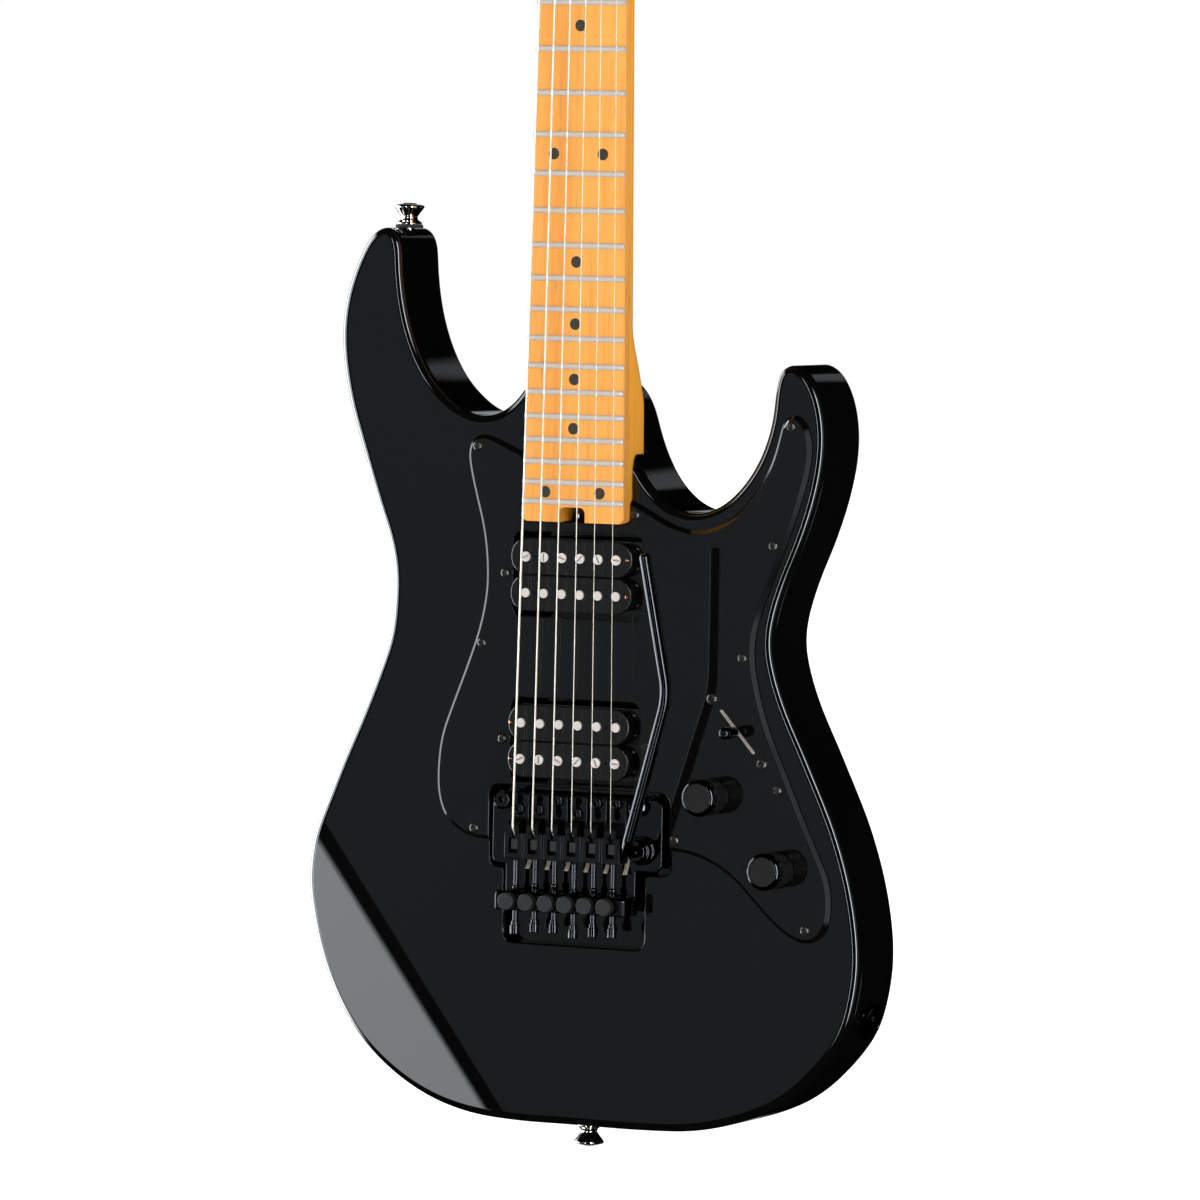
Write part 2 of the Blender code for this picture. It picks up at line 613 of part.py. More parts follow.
def make_fretboard(finish):
    rings = []
    for z in (BOARD_END, NUT_Z):
        half = board_half(z)
        ring = [Vector((half, BOARD_BOTTOM, z)), Vector((-half, BOARD_BOTTOM, z))]
        for k in range(9):
            x = half * (k / 4 - 1)
            ring.append(Vector((x, BOARD_TOP + x * x / (2 * BOARD_RADIUS), z)))
        rings.append(ring)
    board = place("fretboard", loft(rings), finish)
    notch = prism([(6.5, BOARD_END - 5), (6.5, BOARD_END + 3)]
                  + [(6.5 * math.cos(math.radians(a)), BOARD_END + 3 + 4 * math.sin(math.radians(a)))
                     for a in range(20, 180, 20)]
                  + [(-6.5, BOARD_END + 3), (-6.5, BOARD_END - 5)], BOARD_TOP - 2, BOARD_BOTTOM + 1)
    cut(board, notch, "truss_notch")


def make_nut(finish):
    low = NUT_Z + GAP
    base_top = STRING_Y_NUT + GAP
    base = [(NECK_TOP - GAP, low), (base_top, low), (base_top, low + 15), (NECK_TOP - GAP, low + 15)]
    place("locking_nut", side_prism(base, -NUT_WIDTH / 2, NUT_WIDTH / 2), finish)
    for index in range(3):
        x = (string_x(2 * index, NUT_SPREAD) + string_x(2 * index + 1, NUT_SPREAD)) / 2
        top = STRING_Y_NUT - 2 * STRING_RADII[0] - GAP
        clamp = rounded_box((x - 6.6, low + 3), (x + 6.6, low + 13), 1.5, 2)
        piece = place(f"nut_clamp_{index + 1}", prism(clamp, top - 4, top), finish)
        screw = turned([(2.4, 4.9), (2.4, 3), (1.6, 3), (1.6, -0.7)],
                       facing((x, top - 1, low + 8), (0, -1, 0)), 12)
        add(piece, screw, "screw")


def make_tuners(finish, key_finish):
    """Six gear housings on one plate, and in each a post and a key."""
    along = Vector((*POST_STEP, 0)).normalized()
    away = key_direction()
    first, last = post_at(0), post_at(STRING_COUNT - 1)
    back = -HEAD_THICK - GAP
    pitch = Vector(POST_STEP).length
    length = pitch * (STRING_COUNT - 1)
    profile = [(-11, 0), (length + 11, 0), (length + 11, -1.6)]
    for index in reversed(range(STRING_COUNT)):
        s = pitch * index
        profile += [(s + 7, -1.6), (s + 7, -9.5), (s - 7, -9.5), (s - 7, -1.6)]
    profile.append((-11, -1.6))
    rings = []
    for t in (-5.5, 8.0):
        rings.append([first + along * s + away * t + Vector((0, 0, back + w)) for s, w in profile])
    bm = loft(rings)
    bm.transform(head_frame())
    plate = place("tuner_plate", bm, finish)
    holes = []
    for index in range(STRING_COUNT):
        at = post_at(index)
        bore = turned([(POST_R + GAP, back - 6.3), (POST_R + GAP, back + 3)],
                      Matrix.Translation(at), 12)
        bore.transform(head_frame())
        worm = facing(at + away * WORM_ASIDE + Vector((0, 0, back - WORM_DEEP)), away)
        side = turned([(WORM_R + GAP, -0.6), (WORM_R + GAP, 9)], worm, 12)
        side.transform(head_frame())
        holes += [bore, side]
    cut(plate, joined(*holes), "bores")
    for index in range(STRING_COUNT):
        at = post_at(index)
        origin = head_frame() @ at
        profile = [(2.6, POST_HIGH), (POST_R, POST_HIGH - 0.6), (2.5, 5.6), (2.5, 4.4),
                   (POST_R, 2.5), (POST_R, back - 6)]
        post = turned(profile, Matrix.Translation(at), 10)
        post.transform(head_frame())
        place(f"tuner_post_{index + 1}", post, finish, origin, True)
        worm = facing(at + away * WORM_ASIDE + Vector((0, 0, back - WORM_DEEP)), away)
        stations = ((WORM_R, WORM_R, -0.3), (WORM_R, WORM_R, 6), (3.2, 3.2, 6.4), (3.2, 3.2, 9),
                    (4.5, 3.0, 10.5), (9.5, 3.4, 12.5), (10.5, 3.6, 17), (9.5, 3.4, 21.5),
                    (6.0, 2.4, KEY_REACH))
        rings = []
        for wide, thick, height in stations:
            turn = [2 * math.pi * k / 12 for k in range(12)]
            rings.append([Vector((wide * math.cos(a), thick * math.sin(a), height)) for a in turn])
        key = loft(rings)
        key.transform(head_frame() @ worm)
        place(f"tuner_key_{index + 1}", key, key_finish, (head_frame() @ worm).translation, True)


def make_strings(finish):
    for index, radius in enumerate(STRING_RADII):
        x_low, x_high = string_x(index, BRIDGE_SPREAD), string_x(index, NUT_SPREAD)
        low = Vector((x_low, STRING_Y_BRIDGE - radius, BRIDGE_Z - 1.5))
        high = Vector((x_high, STRING_Y_NUT - radius, NUT_Z))
        past = Vector((x_high, STRING_Y_NUT - radius, NUT_Z + 15.5))
        post = post_at(index)
        end = head_frame() @ Vector((post.x + POST_R + radius + GAP, post.y, 5))
        path = [low, high, past, end]
        place(f"string_{index + 1}", tube(path, radius, 6), finish)


# ---------------------------------------------------------------- pickups
def make_pickup(name, z, finish):
    top = FRONT - PICKUP_TOP
    bottom = FRONT + PICKUP_DEEP
    half = BOBBIN_LENGTH / 2
    pickup = None
    for side in (-1, 1):
        low = z + side * (BOBBIN_WIDTH / 2 + GAP / 2) - BOBBIN_WIDTH / 2
        outline = rounded_box((-half, low), (half, low + BOBBIN_WIDTH), BOBBIN_WIDTH / 2 - 0.5, 5)
        if pickup is None:
            pickup = place(name, prism(outline, top, bottom - 1), finish)
        else:
            add(pickup, prism(outline, top, bottom - 1), "bobbin")
    deck = rounded_box((-PICKUP_SCREW_X - 4, z - BOBBIN_WIDTH + 1),
                       (PICKUP_SCREW_X + 4, z + BOBBIN_WIDTH - 1), 4)
    add(pickup, prism(deck, bottom - 2, bottom), "base")
    reach = bottom + 2 - (GUARD_FRONT - GAP)
    for side in (-1, 1):
        frame = facing((side * PICKUP_SCREW_X, GUARD_FRONT - GAP, z), (0, 1, 0))
        screw = turned([(1.6, -1.4), (2.5, -0.5), (2.5, 0), (1.3, 0.01), (1.3, reach)], frame, 10)
        add(pickup, screw, "screw_left" if side < 0 else "screw_right")


# ---------------------------------------------------------------- tremolo
def make_tremolo_base(finish):
    pivot = (0, PIVOT_Y, PIVOT_Z)
    outline = rounded_box((PLATE_LEFT, PLATE_LOW), (PLATE_RIGHT, PLATE_HIGH), 4)
    base = place("tremolo_base", prism(outline, PLATE_FACE, PLATE_BACK), finish, pivot)
    tail = box((-TAIL_HALF, PLATE_FACE, TUNER_BAR_LOW), (TAIL_HALF, PLATE_BACK, PLATE_LOW + 5))
    add(base, tail, "tail")
    slab = LOCK_SCREW_Y - LOCK_SCREW_R - 0.9
    comb = [Vector((-TAIL_HALF, PLATE_FACE + 1)), Vector((-TAIL_HALF, BAR_TOP)),
            Vector((TAIL_HALF, BAR_TOP)), Vector((TAIL_HALF, PLATE_FACE + 1))]
    for index in reversed(range(STRING_COUNT)):
        x = string_x(index, BRIDGE_SPREAD)
        half = LOCK_SCREW_R + 0.9
        comb += [Vector((x + half, PLATE_FACE + 1)), Vector((x + half, slab)),
                 Vector((x - half, slab)), Vector((x - half, PLATE_FACE + 1))]
    bar = loft([[Vector((p.x, p.y, z)) for p in comb] for z in (TUNER_BAR_LOW, TUNER_BAR_HIGH)])
    add(base, bar, "tuner_bar")
    holes = []
    for index in range(STRING_COUNT):
        at = (string_x(index, BRIDGE_SPREAD), BAR_TOP - 2, BAR_MIDDLE)
        holes.append(turned([(2.0 + GAP, 0), (2.0 + GAP, 6.5)], facing(at, (0, 1, 0)), 12))
    for side in (-1, 1):
        x = side * STUD_SPREAD / 2
        half = STUD_NECK_R + KNIFE_GAP
        notch = [Vector((x + half, PLATE_HIGH + 4)), Vector((x - half, PLATE_HIGH + 4))]
        for k in range(9):
            angle = math.radians(180 + 180 * k / 8)
            notch.append(Vector((x + half * math.cos(angle), STUD_Z + half * math.sin(angle))))
        holes.append(prism(notch, PLATE_FACE - 1, PLATE_BACK + 1))
    frame = facing((ARM_X, PLATE_FACE - 1, ARM_Z), (0, 1, 0))
    holes.append(turned([(ARM_R + GAP, 0), (ARM_R + GAP, 6)], frame, 16))
    cut(base, joined(*holes), "bores")


def make_block(finish):
    pivot = (0, PIVOT_Y, PIVOT_Z)
    low = (-BLOCK_HALF, PLATE_BACK + GAP, BLOCK_LOW)
    high = (BLOCK_HALF, PLATE_BACK + GAP + BLOCK_DEEP, BLOCK_HIGH)
    place("tremolo_block", box(low, high), finish, pivot)


def make_saddles(finish):
    """Each saddle with its string-lock screw, which clamps the string from behind."""
    half = BRIDGE_SPREAD / (STRING_COUNT - 1) / 2 - 0.25
    foot = PLATE_FACE - GAP
    peak = STRING_Y_BRIDGE + GAP
    profile = [(foot, 144.5), (peak + 0.2, 144.5), (peak + 0.2, 152), (peak + 0.6, 157.6),
               (peak, 159.2), (peak + 0.3, 161), (peak + 3.5, 164.2), (foot - 2.6, 165),
               (foot - 2.6, 171), (foot, 171)]
    for index in range(STRING_COUNT):
        x = string_x(index, BRIDGE_SPREAD)
        wide = half if index < STRING_COUNT - 1 else half - 0.3
        saddle = place(f"saddle_{index + 1}", side_prism(profile, x - half, x + wide), finish,
                       (0, PIVOT_Y, PIVOT_Z))
        frame = facing((x, LOCK_SCREW_Y, 146), (0, 0, -1))
        screw = turned([(LOCK_SCREW_R, -2), (LOCK_SCREW_R, 33), (2.8, 33), (2.8, 39)], frame, 12)
        add(saddle, screw, "lock_screw")


def make_fine_tuners(finish):
    top = FRONT - FINE_TUNER_TOP
    lift = BAR_TOP - 0.5
    for index in range(STRING_COUNT):
        at = (string_x(index, BRIDGE_SPREAD), 0, BAR_MIDDLE)
        profile = [(FINE_TUNER_R - 0.5, -top), (FINE_TUNER_R, -top - 0.5), (FINE_TUNER_R, -lift),
                   (2.0, -lift), (2.0, -lift - 4.4)]
        place(f"fine_tuner_{index + 1}", turned(profile, facing(at, (0, -1, 0)), 12), finish, at, True)


def make_studs(finish):
    for side, name in ((-1, "pivot_stud_bass"), (1, "pivot_stud_treble")):
        frame = facing((side * STUD_SPREAD / 2, 0, STUD_Z), (0, -1, 0))
        head = -PLATE_FACE + 1.3
        profile = [(STUD_ANCHOR_R, -FRONT - 21), (STUD_ANCHOR_R, -FRONT - 7), (STUD_NECK_R, -FRONT - 7),
                   (STUD_NECK_R, head), (STUD_HEAD_R, head), (STUD_HEAD_R, head + 2), (4.2, head + 2.4)]
        place(name, turned(profile, frame, 14), finish, round_piece=True)


def arm_path():
    """The arm's middle line: up out of its collar, an elbow, the long reach, and the raised tip."""
    elbow = Vector((ARM_X, FRONT - 23.5, ARM_Z))
    bend = Vector((63.4, FRONT - 28.0, 230.5))
    tip = Vector((56.5, FRONT - 42.0, 300.0))
    points = [Vector((ARM_X, PLATE_FACE + 1.5, ARM_Z)), Vector((ARM_X, FRONT - 16.5, ARM_Z))]
    out = (bend - elbow).normalized()
    start, end = points[-1], elbow + out * 8
    for k in range(1, 5):
        t = k / 4
        points.append(start.lerp(elbow, t).lerp(elbow.lerp(end, t), t))
    on = (tip - bend).normalized()
    start, end = bend - out * 9, bend + on * 9
    points.append(start)
    for k in range(1, 5):
        t = k / 4
        points.append(start.lerp(bend, t).lerp(bend.lerp(end, t), t))
    points.append(tip)
    return points


def make_arm(finish):
    arm = place("tremolo_arm", tube(arm_path(), ARM_R, 8), finish, (ARM_X, 0, ARM_Z), True)
    collar = turned([(COLLAR_R, 0.4), (COLLAR_R, 5), (COLLAR_R - 1, 6.5), (COLLAR_R - 1, 8.5)],
                    facing((ARM_X, PLATE_FACE, ARM_Z), (0, -1, 0)), 16)
    add(arm, collar, "collar")


def make_springs(finish, claw_finish):
    y = SPRING_Y
    low, high = BLOCK_HIGH + 0.5, CLAW_LOW - 0.5
    for side, name in ((-1, "spring_bass"), (1, "spring_treble")):
        x = side * SPRING_X
        coil_low, coil_high = low + 7, high - 7
        path = [Vector((x, y, low)), Vector((x, y, coil_low - 2))]
        steps = SPRING_TURNS * 7
        for k in range(steps + 1):
            angle = 2 * math.pi * k / 7
            path.append(Vector((x + SPRING_R * math.cos(angle), y + SPRING_R * math.sin(angle),
                                coil_low + (coil_high - coil_low) * k / steps)))
        path += [Vector((x, y, coil_high + 2)), Vector((x, y, high))]
        place(name, tube(path, SPRING_WIRE_R, 4), finish)
    plate = box((-27, y - 5.5, CLAW_LOW), (27, y + 4.5, CLAW_LOW + CLAW_THICK))
    claw = place("spring_claw", plate, claw_finish)
    for side in (-1, 1):
        frame = facing((side * CLAW_SCREW_X, y, CLAW_LOW - 3), (0, 0, 1))
        screw = turned([(4, 0), (4, 3.5), (CLAW_SCREW_R, 3.5), (CLAW_SCREW_R, 34)], frame, 12)
        add(claw, screw, "screw_left" if side < 0 else "screw_right")


# ---------------------------------------------------------------- controls
def make_controls(black, steel):
    pot_top = GUARD_BACK + GAP
    for at, name in ((VOLUME_AT, "volume"), (TONE_AT, "tone")):
        frame = facing((at[0], 0, at[1]), (0, -1, 0))
        bush_high = -GUARD_FRONT + 3.4
        profile = [(SHAFT_R + GAP, -pot_top - 8), (SHAFT_R + GAP, bush_high), (BUSH_R, bush_high),
                   (BUSH_R, -pot_top), (POT_R, -pot_top), (POT_R, -pot_top - 10)]
        place(f"{name}_pot", turned(profile, frame, 16), steel, round_piece=True)
        low, high = -GUARD_FRONT + 0.5, -GUARD_FRONT + KNOB_HEIGHT
        hollow = bush_high + 2
        profile = [(SHAFT_R, -pot_top - 7.6), (SHAFT_R, hollow), (6, hollow), (6, low), (KNOB_R, low),
                   (KNOB_R, high - 0.7), (KNOB_R - 0.7, high)]
        place(f"{name}_knob", turned(profile, frame, 22), black, (at[0], 0, at[1]), True)


def make_switch(black, steel):
    frame = switch_frame()
    top = GUARD_BACK + GAP
    body = rounded_box((-23.5, top), (23.5, FRONT + 30.5), 1, 1)
    bm = loft([[Vector((p.x, p.y, t)) for p in body] for t in (-5, 5)])
    bm.transform(frame)
    switch = place("switch_body", bm, steel)
    window = box((-19, top + 1.2, -20), (19, FRONT + 24, 20))
    slot = box((-SWITCH_SLOT / 2, top - 5, -1.1), (SWITCH_SLOT / 2, top + 5, 1.1))
    for label, cutter in (("window", window), ("slot", slot)):
        cutter.transform(frame)
        cut(switch, cutter, label)
    pivot = frame @ Vector((0, FRONT + SWITCH_PIVOT_DEEP, 0))
    low = FRONT + SWITCH_PIVOT_DEEP + 1.2
    shape = [(-1.5, low), (1.5, low), (1.5, GUARD_FRONT - 5), (2.6, GUARD_FRONT - 6),
             (2.2, GUARD_FRONT - 16), (-2.2, GUARD_FRONT - 16), (-2.6, GUARD_FRONT - 6),
             (-1.5, GUARD_FRONT - 5)]
    lever = loft([[Vector((s, y, t)) for s, y in shape] for t in (-0.8, 0.8)])
    lever.transform(frame)
    place("switch_lever", lever, black, pivot)


def make_jack(finish):
    frame = facing((JACK_AT[0], 0, JACK_AT[1]), jack_direction())
    profile = [(JACK_BORE_R, -28), (JACK_BORE_R, 3.4), (6, 3.4), (9, 2.4), (9, 1.0), (JACK_R, 1.0),
               (JACK_R, -30)]
    place("jack", turned(profile, frame, 20), finish, round_piece=True)


def main():
    for obj in list(bpy.data.objects):
        bpy.data.objects.remove(obj)
    lacquer = material("black_lacquer", (0.012, 0.012, 0.014), 0.06)
    plastic = material("black_plastic", (0.012, 0.012, 0.013), 0.12)
    maple = material("maple", (0.82, 0.50, 0.20), 0.35)
    board = material("board_maple", (0.80, 0.47, 0.17), 0.4)
    hardware = material("black_chrome", (0.02, 0.02, 0.022), 0.25, 0.9)
    nickel = material("nickel", (0.75, 0.73, 0.70), 0.2, 1.0)
    steel = material("string_steel", (0.65, 0.63, 0.58), 0.3, 1.0)
    bobbin = material("bobbin_plastic", (0.015, 0.015, 0.016), 0.3)

    make_body(lacquer)
    make_guard(plastic)
    make_cover(plastic)
    make_neck_plate(hardware)
    make_strap_buttons(nickel)
    make_neck(maple)
    make_fretboard(board)
    make_nut(hardware)
    make_tuners(hardware, hardware)
    make_strings(steel)
    make_pickup("neck_pickup", NECK_PICKUP_Z, bobbin)
    make_pickup("bridge_pickup", BRIDGE_PICKUP_Z, bobbin)
    make_tremolo_base(hardware)
    make_block(hardware)
    make_saddles(hardware)
    make_fine_tuners(hardware)
    make_studs(hardware)
    make_arm(hardware)
    make_springs(steel, hardware)
    make_controls(hardware, steel)
    make_switch(plastic, steel)
    make_jack(hardware)


main()
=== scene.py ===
# %% [markdown]
# # Dressing an electric guitar
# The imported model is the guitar's true skeleton: every piece has its place and its size, but
# the shapes are coarse and the colours are flat. This lesson builds each visible piece again
# with the detail of the real one, gives it a finish made of shader nodes, and lets it ride on
# the body that carries it. All shapes are worked out in millimetres and turned into metres when
# a piece is made.

# %% Load the skeleton
import math

import bmesh
import bpy
from mathutils import Matrix, Vector


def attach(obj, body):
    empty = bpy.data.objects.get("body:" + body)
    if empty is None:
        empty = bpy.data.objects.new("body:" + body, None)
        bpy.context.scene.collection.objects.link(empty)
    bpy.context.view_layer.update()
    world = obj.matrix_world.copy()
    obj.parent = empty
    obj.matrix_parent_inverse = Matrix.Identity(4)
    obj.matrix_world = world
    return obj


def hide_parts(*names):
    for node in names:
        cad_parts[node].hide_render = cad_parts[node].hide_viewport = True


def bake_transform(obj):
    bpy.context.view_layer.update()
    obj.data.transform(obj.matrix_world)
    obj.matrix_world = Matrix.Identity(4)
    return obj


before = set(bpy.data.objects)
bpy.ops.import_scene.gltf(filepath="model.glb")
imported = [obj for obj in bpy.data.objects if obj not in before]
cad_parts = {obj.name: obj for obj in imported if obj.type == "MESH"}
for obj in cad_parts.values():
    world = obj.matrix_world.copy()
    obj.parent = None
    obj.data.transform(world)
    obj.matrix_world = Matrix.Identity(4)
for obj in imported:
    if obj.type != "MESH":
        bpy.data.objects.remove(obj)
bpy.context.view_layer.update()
MM = 0.001

# %% [markdown]
# ## The sizes that the pieces share
# These are the skeleton's own sizes. The origin is the lower strap button's outer face, Z runs
# up the neck, X to the right and the front faces -Y. The strings run from the bridge line to
# the nut, and every height below is measured from those two and from the flat front of the
# body.

# %% Sizes in millimetres
SCALE_LENGTH, BRIDGE_Z, FRETS = 647.7, 160.0, 24
NUT_Z = BRIDGE_Z + SCALE_LENGTH
FRONT, BACK = -21.5, 21.5
BOARD_TOP, BOARD_BOTTOM = -31.5, -25.5
NECK_TOP = BOARD_BOTTOM + 0.3
LAST_FRET_Z = BRIDGE_Z + SCALE_LENGTH * 2 ** (-FRETS / 12)
BOARD_END = LAST_FRET_Z - 9.9
HEEL_END = BOARD_END + 0.3
HEEL_DEPTH, DEPTH_MID, DEPTH_NUT = 19.8, 15.5, 13.5
NUT_WIDTH, LAST_WIDTH, BOARD_RADIUS = 42.0, 56.1, 406.0
BRIDGE_SPREAD, NUT_SPREAD = 54.0, 35.5
STRING_RADII = (0.53, 0.43, 0.33, 0.22, 0.17, 0.13)
STRING_Y_BRIDGE, STRING_Y_NUT = FRONT - 14.5, BOARD_TOP - 1.9
GUARD_BACK, GUARD_FRONT = FRONT - 0.3, FRONT - 2.6
PLATE_FACE, PLATE_BACK = FRONT - 4.5, FRONT - 1.5
HEAD_Z, HEAD_TILT, HEAD_THICK = NUT_Z + 16.5, math.radians(12), 14.0
NECK_PICKUP_Z, BRIDGE_PICKUP_Z = 285.3, 202.8
KNOBS = (("volume", 76.7, 180.2), ("tone", 112.8, 146.0))
SWITCH_TOP, SWITCH_LOW = Vector((75.5, 0, 227.9)), Vector((103.3, 0, 197.0))


def string_x(index, spread):
    return (index / 5 - 0.5) * spread


def board_half(z):
    """Half the fretboard's width at a height."""
    return (NUT_WIDTH + (LAST_WIDTH - NUT_WIDTH) * (NUT_Z - z) / (NUT_Z - LAST_FRET_Z)) / 2


def board_y(x):
    """The fretboard's face is part of a large cylinder."""
    return BOARD_TOP + x * x / (2 * BOARD_RADIUS)


def fret_z(number):
    return BRIDGE_Z + SCALE_LENGTH * 2 ** (-number / 12)


print("frets from", round(fret_z(1)), "down to", round(fret_z(FRETS)), "mm")

# %% [markdown]
# ## The camera
# The view is a long lens from a little to the right and slightly above, which keeps the
# guitar's lines nearly parallel. The camera is placed by its distance and its two angles, so
# its shift can stay at zero and every other view frames the guitar as well.

# %% Set the camera
CAMERA_AT = Vector((1762, -3470.5, 486)) * MM
CAMERA_TURN, CAMERA_PITCH, CAMERA_ROLL = 26.91, -3.14, 1.061
camera = bpy.data.objects.new("camera", bpy.data.cameras.new("camera"))
camera.data.lens, camera.data.sensor_width = 235.3, 36.0
camera.data.clip_end = 60
look = (Matrix.Rotation(math.radians(CAMERA_TURN), 4, "Z")
        @ Matrix.Rotation(math.radians(90 + CAMERA_PITCH), 4, "X")
        @ Matrix.Rotation(math.radians(CAMERA_ROLL), 4, "Z"))
camera.matrix_world = Matrix.Translation(CAMERA_AT) @ look
bpy.context.scene.collection.objects.link(camera)
bpy.context.scene.camera = camera
print("the camera is", round(CAMERA_AT.length, 2), "m away")

# %% [markdown]
# ## Writing shader maths as Python
# A material is a graph of nodes. Wiring it by hand hides what it says, so one small class
# stands for a socket and lets + - * add the Math nodes. Colours and vectors are mixed by their
# own nodes, because a Math node would turn them grey. Every other node comes from `node`.

# %% A class for sockets and one for paints
class Link:
    """One output socket. Arithmetic on it adds Math nodes to its paint."""

    def __init__(self, paint, socket):
        self.paint, self.socket = paint, socket

    def out(self, name):
        return Link(self.paint, self.socket.node.outputs[name])

    def math(self, operation, first, second):
        return self.paint.node("ShaderNodeMath", {"operation": operation}, {0: first, 1: second})

    def __add__(self, other):
        return self.math("ADD", self, other)

    def __radd__(self, other):
        return self.math("ADD", other, self)

    def __sub__(self, other):
        return self.math("SUBTRACT", self, other)

    def __rsub__(self, other):
        return self.math("SUBTRACT", other, self)

    def __mul__(self, other):
        return self.math("MULTIPLY", self, other)

    def __rmul__(self, other):
        return self.math("MULTIPLY", other, self)

    def power(self, other):
        return self.math("POWER", self, other)


class Paint:
    """A material whose nodes are written as expressions."""

    def __init__(self, name, **fixed):
        self.material = bpy.data.materials.new(name)
        self.material.use_nodes = True
        self.tree = self.material.node_tree
        self.shader = self.tree.nodes["Principled BSDF"]
        for socket, value in fixed.items():
            self.shader.inputs[socket.replace("_", " ")].default_value = value

    def node(self, kind, settings=None, sockets=None):
        made = self.tree.nodes.new(kind)
        for name, value in (settings or {}).items():
            if name == "stops":
                ramp = made.color_ramp.elements
                while len(ramp) < len(value):
                    ramp.new(0.5)
                for element, (place, colour) in zip(ramp, value):
                    element.position, element.color = place, (*colour, 1)
            else:
                setattr(made, name, value)
        for name, value in (sockets or {}).items():
            self.plug(made.inputs[name], value)
        return Link(self, made.outputs[0])

    def plug(self, socket, value):
        if isinstance(value, Link):
            self.tree.links.new(value.socket, socket)
        elif isinstance(value, tuple) and socket.type == "RGBA":
            socket.default_value = (*value[:3], 1)
        else:
            socket.default_value = value

    def place(self, stretch=(1, 1, 1), turn=(0, 0, 0)):
        """The point on the object in metres, stretched so that a pattern gets its grain."""
        spot = self.node("ShaderNodeTexCoord").out("Object")
        return self.node("ShaderNodeMapping", None,
                         {"Vector": spot, "Rotation": turn, "Scale": stretch})

    def noise(self, scale, detail=3.0, where=None, rough=0.55):
        return self.node("ShaderNodeTexNoise", {"noise_dimensions": "3D"},
                         {"Vector": where or self.place(), "Scale": scale, "Detail": detail,
                          "Roughness": rough})

    def ramp(self, value, *stops):
        return self.node("ShaderNodeValToRGB", {"stops": stops}, {"Fac": value})

    def mask(self, value, low, high):
        """0 below low, 1 above high."""
        return self.node("ShaderNodeMapRange", {"interpolation_type": "SMOOTHSTEP"},
                         {"Value": value, "From Min": low, "From Max": high})

    def mix(self, share, first, second):
        made = self.node("ShaderNodeMix", {"data_type": "RGBA"}, {0: share, 6: first, 7: second})
        return Link(self, made.socket.node.outputs[2])

    def bump(self, height, strength, distance):
        return self.node("ShaderNodeBump", None,
                         {"Height": height, "Strength": strength, "Distance": distance})

    def feed(self, **links):
        for socket, value in links.items():
            self.plug(self.shader.inputs[socket.replace("_", " ")], value)
        return self.material


def grey(level, tint=(1, 1, 1)):
    return tuple(level * t for t in tint)


print("Link and Paint are ready")

# %% [markdown]
# ## Gloss lacquer and gloss plastic
# The body is sprayed with black polyester and polished. It is nearly a mirror, so almost
# everything seen on it is the studio. What makes it a real surface is small: faint polishing
# haze that moves the roughness, a breath of orange peel in the bump, and a little dust. The
# guard is the same black in plastic, a shade softer and with fine wiping scratches.

# %% Mix the blacks
def make_lacquer():
    paint = Paint("polyester_lacquer", IOR=1.5)
    haze = paint.noise(9.0, 4.0)
    swirl = paint.noise(2600.0, 2.0, paint.place((1, 1, 0.12)))
    dust = paint.mask(paint.noise(900.0, 1.0), 0.79, 0.83)
    peel = paint.noise(160.0, 2.0)
    colour = paint.mix(haze, grey(0.0008, (1, 1.04, 1.15)), grey(0.0020, (1, 1.04, 1.15)))
    return paint.feed(Base_Color=paint.mix(dust * 0.25, colour, (0.05, 0.05, 0.05)),
                      Roughness=0.018 + haze * 0.03 + swirl * 0.012 + dust * 0.2,
                      Normal=paint.bump(peel, 0.02, 0.0004))


def make_guard_plastic():
    paint = Paint("gloss_plastic", IOR=1.49)
    haze = paint.noise(14.0, 4.0)
    leaning, falling = (paint.place((1, 1, 0.03), (0, turn, 0)) for turn in (0.6, -0.9))
    marks = (paint.mask(paint.noise(700.0, 3.0, leaning), 0.62, 0.72)
             + paint.mask(paint.noise(800.0, 3.0, falling), 0.64, 0.72))
    colour = paint.mix(haze, grey(0.0008, (1, 1.04, 1.15)), grey(0.0024, (1, 1.04, 1.15)))
    return paint.feed(Base_Color=colour, Roughness=0.03 + haze * 0.035 + marks * 0.03,
                      Normal=paint.bump(paint.noise(120.0, 2.0) + marks * 0.02, 0.02, 0.0004))


LACQUER, GUARD_PLASTIC = make_lacquer(), make_guard_plastic()
print("made", LACQUER.name, "and", GUARD_PLASTIC.name)

# %% [markdown]
# ## Amber maple
# The neck and its board are maple under a satin amber tint. Maple is plain, but close up it has
# long pale bands, short brown pores along the grain and flecks where the rays are cut. All of
# them run up the neck, so the noises are squeezed in Z until they become streaks.

